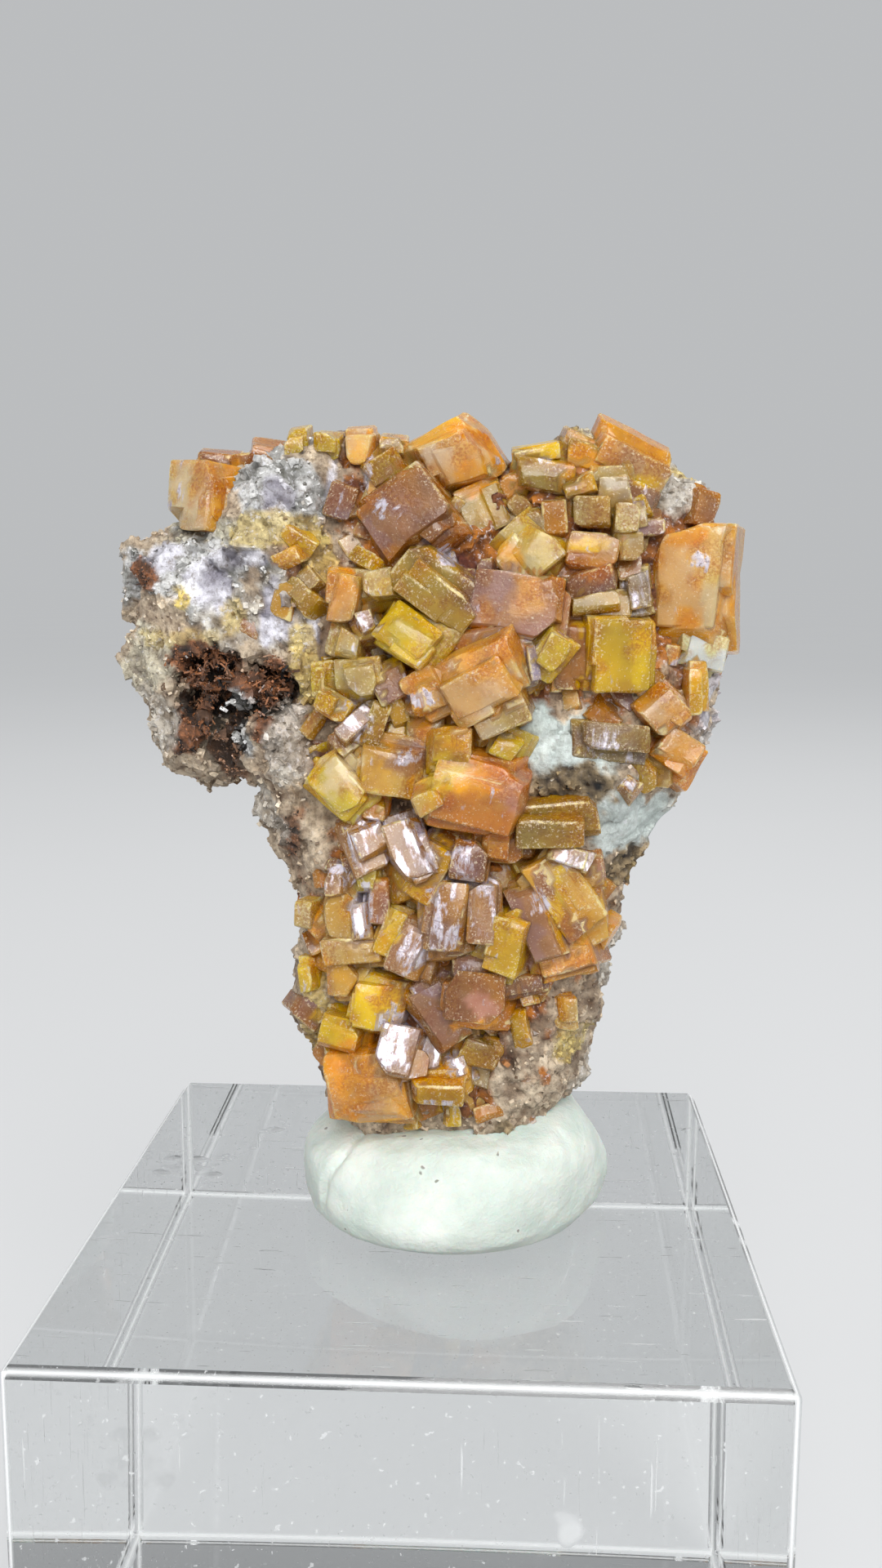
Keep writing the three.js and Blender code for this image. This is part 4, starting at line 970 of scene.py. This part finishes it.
def grains(name, surface, rows, material, share, count, sizes, shape, seed):
    """Small uneven blocks or needles sunk into the rock all over, as one mesh.
    share gives how many each kind of surface has, shape their proportions."""
    points, _, normals, weights, _ = surface
    random = np.random.default_rng(seed)
    chance = weights @ np.array([share.get(kind, 0) for kind in ROCK_KINDS])
    chance = chance * clear_of_crystals(points, rows, 0.1) * (points[:, 2] > 4.5)
    chosen = random.choice(len(points), count, p=chance / chance.sum())
    size = random.uniform(*sizes, count) * random.uniform(0.5, 1.2, count)
    middles = points[chosen] - normals[chosen] * (0.2 * size[:, None])
    corners = np.array(list(itertools.product((-1, 1), repeat=3))) / 2
    sides = size[:, None] * np.array(shape) * random.uniform(0.6, 1.2, (count, 3))
    turn = np.linalg.qr(random.normal(size=(count, 3, 3)))[0]
    turn *= np.sign(np.linalg.det(turn))[:, None, None]
    local = corners * sides[:, None, :] * random.uniform(0.65, 1.0, (count, 8, 3))
    placed = middles[:, None, :] + local @ turn.transpose(0, 2, 1)
    box = [(0, 1, 3, 2), (4, 6, 7, 5), (0, 4, 5, 1), (2, 3, 7, 6), (0, 2, 6, 4), (1, 5, 7, 3)]
    faces = (np.arange(count)[:, None, None] * 8 + np.array(box)).reshape(-1, 4)
    piece = make_object(name, placed.reshape(-1, 3), faces, material)
    tone = np.clip(random.normal(0.6, 0.4, count), -0.1, 1.3)
    colour = np.clip(kind_colours(weights[chosen], tone), 0, 1)
    store(piece.data, "tint", "FLOAT_COLOR", np.repeat(colour, 8, axis=0))
    store(piece.data, "shine", "FLOAT", np.repeat(random.uniform(0, 1, count), 8))
    return piece


def small_crystals(surface, rows, material, seed):
    """Small crystals between the large ones and round those on the back, as one mesh."""
    points, _, _, weights, _ = surface
    random = np.random.default_rng(seed)
    chance = weights[:, list(ROCK_KINDS).index("crust")] * (points[:, 1] < -2.6)
    for row in BACK_CRYSTALS:
        away = ((points - np.array(row[1:4])) ** 2).sum(axis=1)
        chance += BACK_SHARE * np.exp(-away / BACK_SPREAD**2)
    chance = chance * clear_of_crystals(points, rows, -0.2)
    grown = []
    for place in points[random.choice(len(points), SMALL_COUNT, p=chance / chance.sum())]:
        size = random.uniform(*SMALL_SIZES, 3) + (0, 0, SMALL_DEEPER)
        side = 1 if place[1] > 0 else -1
        middle = place + (0, side * random.uniform(*SMALL_OUT), 0)
        turn = [random.uniform(*limits) for limits in SMALL_TURNS]
        turn[0] = 90 + 90 * side + turn[0]
        grown.append(("small", *middle, *size, *turn, random.choice(SMALL_COLOURS)))
    parts = [make_object("small", *crystal_mesh(row, random), material) for row in grown]
    join_solids(parts[0], parts[1:])
    parts[0].name = "small_crystals_grown"
    numbered = [(str(i), *row[1:]) for i, row in enumerate(grown)]
    paint_crystals(parts[0].data, numbered, seed)
    shade(parts[0], SHARP["crystals"])
    return parts[0]


# Putty


def putty(material):
    """The pad of putty: a turned profile, dented, swollen and creased."""
    profile = np.array(PUTTY_PROFILE)
    steps = np.linspace(0, len(profile) - 1, PUTTY_RINGS)
    share = np.interp(steps, range(len(profile)), profile[:, 0])
    height = np.interp(steps, range(len(profile)), profile[:, 1])
    for _ in range(6):
        share[1:-1] = (share[:-2] + 2 * share[1:-1] + share[2:]) / 4
        height[1:-1] = (height[:-2] + 2 * height[1:-1] + height[2:]) / 4
    angle = np.linspace(0, 2 * math.pi, PUTTY_SIDES, endpoint=False)
    share, height, angle = share[:, None], height[:, None], angle[None, :]
    dent = PUTTY_DENT * np.sin(3 * angle + 0.6) * np.sin(height)
    rise = PUTTY_RISE * height * np.cos(angle - 0.5) / 6
    points = np.stack(
        [
            PUTTY_MIDDLE[0] + (PUTTY_RADIUS[0] * share + dent) * np.cos(angle),
            PUTTY_MIDDLE[1] + (PUTTY_RADIUS[1] * share + dent) * np.sin(angle),
            0.02 + height + rise,
        ],
        axis=-1,
    ).reshape(-1, 3)
    number = np.arange(PUTTY_RINGS * PUTTY_SIDES).reshape(PUTTY_RINGS, PUTTY_SIDES)
    after = np.roll(number, -1, axis=1)
    ring = [number[:-1], after[:-1], after[1:], number[1:]]
    faces = np.stack(ring, axis=-1).reshape(-1, 4)
    normals = point_normals(points, faces)
    swell = 0.16 * rough(points, 3.4, 3, 81) + 0.03 * rough(points, 0.6, 2, 85)
    out = points[:, :2] - PUTTY_MIDDLE
    turned = np.degrees(np.arctan2(out[:, 1], out[:, 0])) % 360
    for at, slant, low, high, depth in PUTTY_CREASES:
        off = turned - at - slant * points[:, 2] + 2.0 * noise(points, 1.2, 87)
        along = smooth(low, low + 0.8, points[:, 2]) * smooth(high, high - 0.8, points[:, 2])
        swell -= depth * along * np.exp(-((off / 1.6) ** 2))
    points = points + normals * (swell * smooth(0.0, 0.8, points[:, 2]))[:, None]
    ends = [list(number[0][::-1]), list(number[-1])]
    piece = make_object("putty_pad", points, faces.tolist() + ends, material)
    shade(piece, SHARP["putty"])
    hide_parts("putty")
    return piece


# Acrylic block


def acrylic(material):
    """The clear block, its edges broken."""
    size = (BLOCK_SIDE, BLOCK_SIDE, BLOCK_HEIGHT)
    points, faces = block_mesh(size, BLOCK_EDGE, BLOCK_CELL)
    broken = (np.abs(points) > np.array(size) / 2 - 0.3).sum(axis=1) > 1
    points = points - (0, 0, BLOCK_HEIGHT / 2)
    piece = make_object("clear_block", points, faces, material)
    store(piece.data, "edge", "FLOAT", broken)
    shade(piece, SHARP["block"])
    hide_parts("acrylic_block")
    return piece


# Materials


def feed(tree, socket, value):
    """Sets a socket to a value, or links it to the output of another node."""
    if isinstance(value, bpy.types.NodeSocket):
        tree.links.new(value, socket)
    else:
        socket.default_value = value


def add(tree, kind, inputs=None, **settings):
    """Adds a shader node. An input is a value, or the output of another node."""
    node = tree.nodes.new(kind)
    for name, value in settings.items():
        setattr(node, name, value)
    for name, value in (inputs or {}).items():
        feed(tree, node.inputs[name], value)
    return node


def set_shader(material, **inputs):
    """Sets inputs of a material's shader, named with underscores for spaces."""
    tree = material.node_tree
    for key, value in inputs.items():
        name = key.replace("_", " ").title().replace("Ior", "IOR")
        feed(tree, tree.nodes["Principled BSDF"].inputs[name], value)


def new_material(name, **inputs):
    """A material, some inputs of its shader set, and its node tree."""
    material = bpy.data.materials.new(name)
    material.use_nodes = True
    set_shader(material, **inputs)
    return material, material.node_tree


def attribute(tree, name, output):
    """What the mesh keeps on its points under a name."""
    return add(tree, "ShaderNodeAttribute", attribute_name=name).outputs[output]


def worked_out(tree, operation, first, second=0.0):
    """What a sum with one or two numbers gives."""
    return add(tree, "ShaderNodeMath", {0: first, 1: second}, operation=operation).outputs[0]


def times(tree, first, second):
    """One number times another."""
    return worked_out(tree, "MULTIPLY", first, second)


def plus(tree, first, second):
    """One number added to another."""
    return worked_out(tree, "ADD", first, second)


def larger(tree, first, second):
    """The larger of two numbers."""
    return worked_out(tree, "MAXIMUM", first, second)


def blend(tree, factor, first, second, kind="MIX"):
    """Mixes two colours."""
    inputs = {0: factor, 6: first, 7: second}
    return add(tree, "ShaderNodeMix", inputs, data_type="RGBA", blend_type=kind).outputs[2]


def blend_values(tree, factor, first, second):
    """Mixes two numbers."""
    return add(tree, "ShaderNodeMix", {0: factor, 2: first, 3: second}).outputs[0]


def bump(tree, height, strength, distance, normal=None):
    """A surface direction made uneven by a height."""
    inputs = {"Height": height, "Strength": strength, "Distance": distance}
    if normal is not None:
        inputs["Normal"] = normal
    return add(tree, "ShaderNodeBump", inputs).outputs[0]


def span(tree, value, low, high, start=0.0, end=1.0):
    """Turns the span low to high of a value into start to end."""
    inputs = {"Value": value, 1: low, 2: high, 3: start, 4: end}
    return add(tree, "ShaderNodeMapRange", inputs).outputs[0]


def texture(tree, vector, scale, detail=3.0, roughness=0.5):
    """Noise from 0 to 1."""
    inputs = {"Vector": vector, "Scale": scale, "Detail": detail, "Roughness": roughness}
    return add(tree, "ShaderNodeTexNoise", inputs).outputs[0]


def stretched(tree, vector, scale):
    """A place with each coordinate multiplied by its own number."""
    return add(tree, "ShaderNodeVectorMath", {0: vector, 1: scale}, operation="MULTIPLY").outputs[0]


def in_millimetres(tree):
    """Where a point is on its object, in millimetres."""
    return stretched(tree, add(tree, "ShaderNodeTexCoord").outputs["Object"], (1000, 1000, 1000))


def crystal_colour(tree, place, inset):
    """A crystal's colour: zones, clouds, brown dots inside, pale edges that carry a painted highlight,
    and dust.
    """
    zone = span(tree, texture(tree, place, 0.45, 1.0), 0.5, 0.56, 0.0, 0.6)
    zoned = blend(tree, zone, attribute(tree, "tint", "Color"), (1.12, 1.0, 0.3, 1), "MULTIPLY")
    cloud = span(tree, texture(tree, place, 0.7, 3.0, 0.6), 0.44, 0.66, 0.0, 0.6)
    clouded = blend(tree, cloud, zoned, (0.7, 0.5, 0.34, 1), "MULTIPLY")
    dotted = span(tree, texture(tree, stretched(tree, place, (0.4, 0.4, 0.4)), 1.0, 2.0), 0.48, 0.6)
    dots = span(tree, texture(tree, place, 7.0, 2.0, 0.6), 0.56, 0.44, 0.0, 0.7)
    speckled = blend(tree, times(tree, dotted, dots), clouded, (0.66, 0.4, 0.24, 1), "MULTIPLY")
    # Pale edges: chipped rims with a painted highlight
    ragged = span(tree, texture(tree, place, 4.0, 4.0, 0.7), 0.3, 0.7, -0.1, 0.14)
    rim = span(tree, plus(tree, inset, ragged), 0.05, 0.12, 0.8, 0.0)
    rimmed = blend(tree, rim, speckled, (*linear(EDGE_COLOUR), 1))
    near_edge = span(tree, inset, 0.1, 0.7, 0.1, 0.0)
    specks = plus(tree, texture(tree, place, 8.0, 2.0, 0.6), near_edge)
    dust = span(tree, specks, 0.63, 0.71, 0.0, 0.55)
    return blend(tree, dust, rimmed, (0.86, 0.74, 0.54, 1))


def crystal_material():
    """Glossy, translucent wulfenite with cracked, mirror-like patches: a painted reflection over a
    metallic gloss.
    """
    material, tree = new_material(
        "wulfenite",
        ior=1.55,
        specular_ior_level=0.35,
        subsurface_weight=0.6,
        subsurface_scale=0.001,
        subsurface_radius=(1.0, 0.82, 0.36),
        coat_weight=0.3,
        transmission_weight=0.25,
    )
    place = attribute(tree, "place", "Vector")
    shine = attribute(tree, "shine", "Fac")
    colour = crystal_colour(tree, place, attribute(tree, "inset", "Fac"))
    # Painted reflection: pale patches broken by dark cracks where the shine is high, given metallic
    # gloss too
    streaks = texture(tree, stretched(tree, place, (1.6, 0.9, 0.5)), 1.0, 6.0, 0.66)
    patch = span(tree, plus(tree, streaks, times(tree, shine, 0.22)), 0.69, 0.78, 0.0, 0.9)
    from_reflection_crack = plus(tree, texture(tree, place, 1.7, 5.0, 0.6), -0.5)
    near_reflection_crack = span(tree, worked_out(tree, "ABSOLUTE", from_reflection_crack), 0.0, 0.03, 1.0, 0.0)
    reflection_crack = times(tree, near_reflection_crack, patch)
    painted_reflection = blend(tree, patch, colour, (0.72, 0.68, 0.76, 1))
    layers = texture(tree, stretched(tree, place, (0.5, 0.5, 0.9)), 1.0, 3.0)
    steps = worked_out(tree, "SNAP", layers, 0.05)
    uneven = bump(tree, plus(tree, steps, times(tree, patch, 0.1)), 0.6, 0.0003)
    gloss = span(tree, texture(tree, place, 1.3, 4.0, 0.6), 0.35, 0.65, 0.06, 0.32)
    set_shader(
        material,
        base_color=blend(tree, reflection_crack, painted_reflection, (0.26, 0.15, 0.12, 1)),
        normal=bump(tree, texture(tree, place, 5.0, 4.0, 0.65), 0.4, 0.00008, uneven),
        roughness=blend_values(tree, patch, gloss, 0.26),
        metallic=times(tree, patch, 0.45),
    )
    return material


def rock_material():
    """Granular rock: its colours are kept on its points, and grit with painted shade and light, and
    painted glints, are added here.
    """
    material, tree = new_material("matrix_rock", ior=1.55)
    where = in_millimetres(tree)
    shine = attribute(tree, "shine", "Fac")
    grit = texture(tree, where, 2.4, 6.0, 0.75)
    # Painted shade and light: the pits of the grit bump are darkened and its raised grains lightened
    hole = times(tree, span(tree, grit, 0.36, 0.5, 0.8, 0.0), attribute(tree, "grit", "Fac"))
    dark = blend(tree, hole, attribute(tree, "tint", "Color"), (0.3, 0.25, 0.2, 1), "MULTIPLY")
    light = blend(tree, span(tree, grit, 0.5, 0.66, 0.0, 0.8), dark, (1.5, 1.5, 1.5, 1), "MULTIPLY")
    # Painted glints: pale spots where the rock shines
    painted_glint = span(tree, texture(tree, where, 3.6, 3.0, 0.7), 0.57, 0.64, 0.0, 0.85)
    set_shader(
        material,
        base_color=blend(tree, times(tree, painted_glint, shine), light, (0.85, 0.84, 0.9, 1)),
        normal=bump(tree, grit, 0.8, 0.00025),
        roughness=span(tree, shine, 0.0, 1.0, 0.8, 0.25),
    )
    return material


def grain_material():
    """Small glassy crystals of the rock's crust."""
    material, tree = new_material("druse", ior=1.6)
    spots = span(tree, texture(tree, in_millimetres(tree), 4.0, 3.0, 0.6), 0.35, 0.65, 0.6, 1.2)
    set_shader(
        material,
        base_color=blend(tree, 1.0, attribute(tree, "tint", "Color"), spots, "MULTIPLY"),
        roughness=span(tree, attribute(tree, "shine", "Fac"), 0.0, 1.0, 0.7, 0.15),
    )
    return material


def putty_material():
    """Pale mint putty with a few dark specks."""
    material, tree = new_material(
        "mint_putty",
        ior=1.45,
        subsurface_weight=0.3,
        subsurface_scale=0.001,
    )
    where = in_millimetres(tree)
    mottle = span(tree, texture(tree, where, 0.35, 4.0, 0.6), 0.35, 0.65)
    colour = blend(tree, mottle, (*linear("#c6d1c8"), 1), (*linear("#dae0d8"), 1))
    specks = span(tree, texture(tree, where, 1.4, 1.0, 0.4), 0.76, 0.78, 0.0, 0.7)
    set_shader(
        material,
        base_color=blend(tree, specks, colour, (0.12, 0.1, 0.08, 1)),
        normal=bump(tree, texture(tree, where, 2.2, 5.0, 0.65), 0.5, 0.00025),
        roughness=span(tree, mottle, 0.0, 1.0, 0.42, 0.6),
    )
    return material


def acrylic_material():
    """Clear acrylic with fine scratches, dust and frosted edges that stay bright by a faint glow, a
    painted highlight.
    Its plain roughness and transmission are for the export, which reads plain values too."""
    clear = (0.97, 0.985, 0.985, 1)
    material, tree = new_material(
        "clear_acrylic",
        ior=1.49,
        transmission_weight=1.0,
        roughness=0.02,
        base_color=clear,
        emission_color=clear,
    )
    where = in_millimetres(tree)
    upright = texture(tree, stretched(tree, where, (4.0, 4.0, 0.12)), 1.0, 2.0)
    across = texture(tree, stretched(tree, where, (0.2, 2.6, 0.2)), 1.0, 2.0)
    lines = larger(tree, span(tree, upright, 0.7, 0.74), span(tree, across, 0.7, 0.74))
    dust = span(tree, texture(tree, where, 2.6, 2.0, 0.5), 0.69, 0.72)
    # Painted highlight: the frosted edges glow by their own emission
    edge = span(tree, attribute(tree, "edge", "Fac"), 0.3, 1.0, 0.0, 0.8)
    frosted = larger(tree, edge, times(tree, larger(tree, lines, dust), 0.5))
    set_shader(
        material,
        normal=bump(tree, lines, 0.25, 0.00005),
        roughness=span(tree, frosted, 0.0, 1.0, 0.02, 0.5),
        transmission_weight=span(tree, frosted, 0.0, 1.0, 1.0, 0.5),
        emission_strength=times(tree, edge, 0.4),
    )
    return material


def floor_material():
    """A pale floor that meets the surroundings without a visible line."""
    material, tree = new_material(
        "pale_floor",
        roughness=0.8,
        specular_ior_level=0.0,
        emission_color=(*SURROUNDINGS, 1),
        emission_strength=FLOOR_SHARE * SURROUNDINGS_STRENGTH,
    )
    mottle = texture(tree, add(tree, "ShaderNodeTexCoord").outputs["Object"], 6.0, 3.0)
    set_shader(material, base_color=blend(tree, mottle, (0.27, 0.27, 0.27, 1), (0.3, 0.3, 0.3, 1)))
    return material


# Studio


def area_light(name, place, size, power, colour):
    """A rectangular lamp that points at the object and isn't seen through the clear block."""
    light = bpy.data.lights.new(name, "AREA")
    light.shape = "RECTANGLE"
    light.size, light.size_y = size
    light.energy = power
    light.color = colour
    lamp = bpy.data.objects.new(name, light)
    lamp.location = place
    direction = Vector(LAMPS_TARGET) - Vector(place)
    lamp.rotation_euler = direction.to_track_quat("-Z", "Y").to_euler()
    lamp.visible_transmission = False
    bpy.context.scene.collection.objects.link(lamp)


def surroundings():
    """Light from all round, weaker from above than from the sides."""
    world = bpy.data.worlds.new("studio")
    world.use_nodes = True
    tree = world.node_tree
    background = tree.nodes["Background"]
    background.inputs[0].default_value = (*SURROUNDINGS, 1)
    direction = add(tree, "ShaderNodeTexCoord").outputs["Generated"]
    height = add(tree, "ShaderNodeSeparateXYZ", {0: direction}).outputs[2]
    strength = span(tree, height, 0.4, 0.8, SURROUNDINGS_STRENGTH, TOP_SHARE * SURROUNDINGS_STRENGTH)
    tree.links.new(strength, background.inputs[1])
    bpy.context.scene.world = world


def studio():
    """A pale floor and surroundings, a soft key light above the camera, weaker light left and behind."""
    mesh = bpy.data.meshes.new("floor")
    corners = [(FLOOR_HALF * x, FLOOR_HALF * y, 0) for x, y in ((-1, -1), (1, -1), (1, 1), (-1, 1))]
    mesh.from_pydata(corners, [], [(0, 1, 2, 3)])
    mesh.transform(Matrix.Translation((0, 0, -FLOOR_DROP * MM)))
    mesh.materials.append(floor_material())
    ground = bpy.data.objects.new("floor", mesh)
    bpy.context.scene.collection.objects.link(ground)
    for name, lamp in LAMPS.items():
        area_light(name, *lamp)
    surroundings()
    bpy.context.scene.view_settings.view_transform = "Standard"


def camera():
    """The camera, where the photo was taken from."""
    data = bpy.data.cameras.new("camera")
    data.lens = CAMERA_LENS
    data.sensor_width = CAMERA_SENSOR
    data.clip_start = CAMERA_NEAR
    shot = bpy.data.objects.new("camera", data)
    shot.location = CAMERA_PLACE
    shot.rotation_euler = [math.radians(angle) for angle in CAMERA_TURNS]
    bpy.context.scene.collection.objects.link(shot)
    bpy.context.scene.camera = shot


# Whole scene


def specimen():
    """All pieces of the object."""
    crystal = crystal_material()
    rows = [row for group in CRYSTALS.values() for row in group] + ROCK_CRYSTALS + BACK_CRYSTALS
    for number, (name, group) in enumerate(CRYSTALS.items()):
        cluster = crystal_cluster(name + "_grown", group, crystal, CLUSTER_SEED + number)
        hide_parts(name)
    for number, (name, group) in enumerate((("crust", ROCK_CRYSTALS), ("back", BACK_CRYSTALS))):
        cluster = crystal_cluster(name + "_crystals_grown", group, crystal, OTHER_SEED + number)
    surface = rock_surface()
    rock(surface, rock_material())
    small_crystals(surface, rows, crystal, SMALL_SEED)
    druse = grain_material()
    for name, group in GRAINS.items():
        grains(name, surface, rows, druse, *group)
    putty(putty_material())
    acrylic(acrylic_material())


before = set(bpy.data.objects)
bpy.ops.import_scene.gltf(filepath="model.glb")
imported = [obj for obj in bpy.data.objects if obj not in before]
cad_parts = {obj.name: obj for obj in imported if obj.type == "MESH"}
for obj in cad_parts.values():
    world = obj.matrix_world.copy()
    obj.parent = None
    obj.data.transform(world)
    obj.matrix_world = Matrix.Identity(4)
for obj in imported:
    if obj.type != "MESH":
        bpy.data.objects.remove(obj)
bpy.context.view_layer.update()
specimen()
studio()
camera()
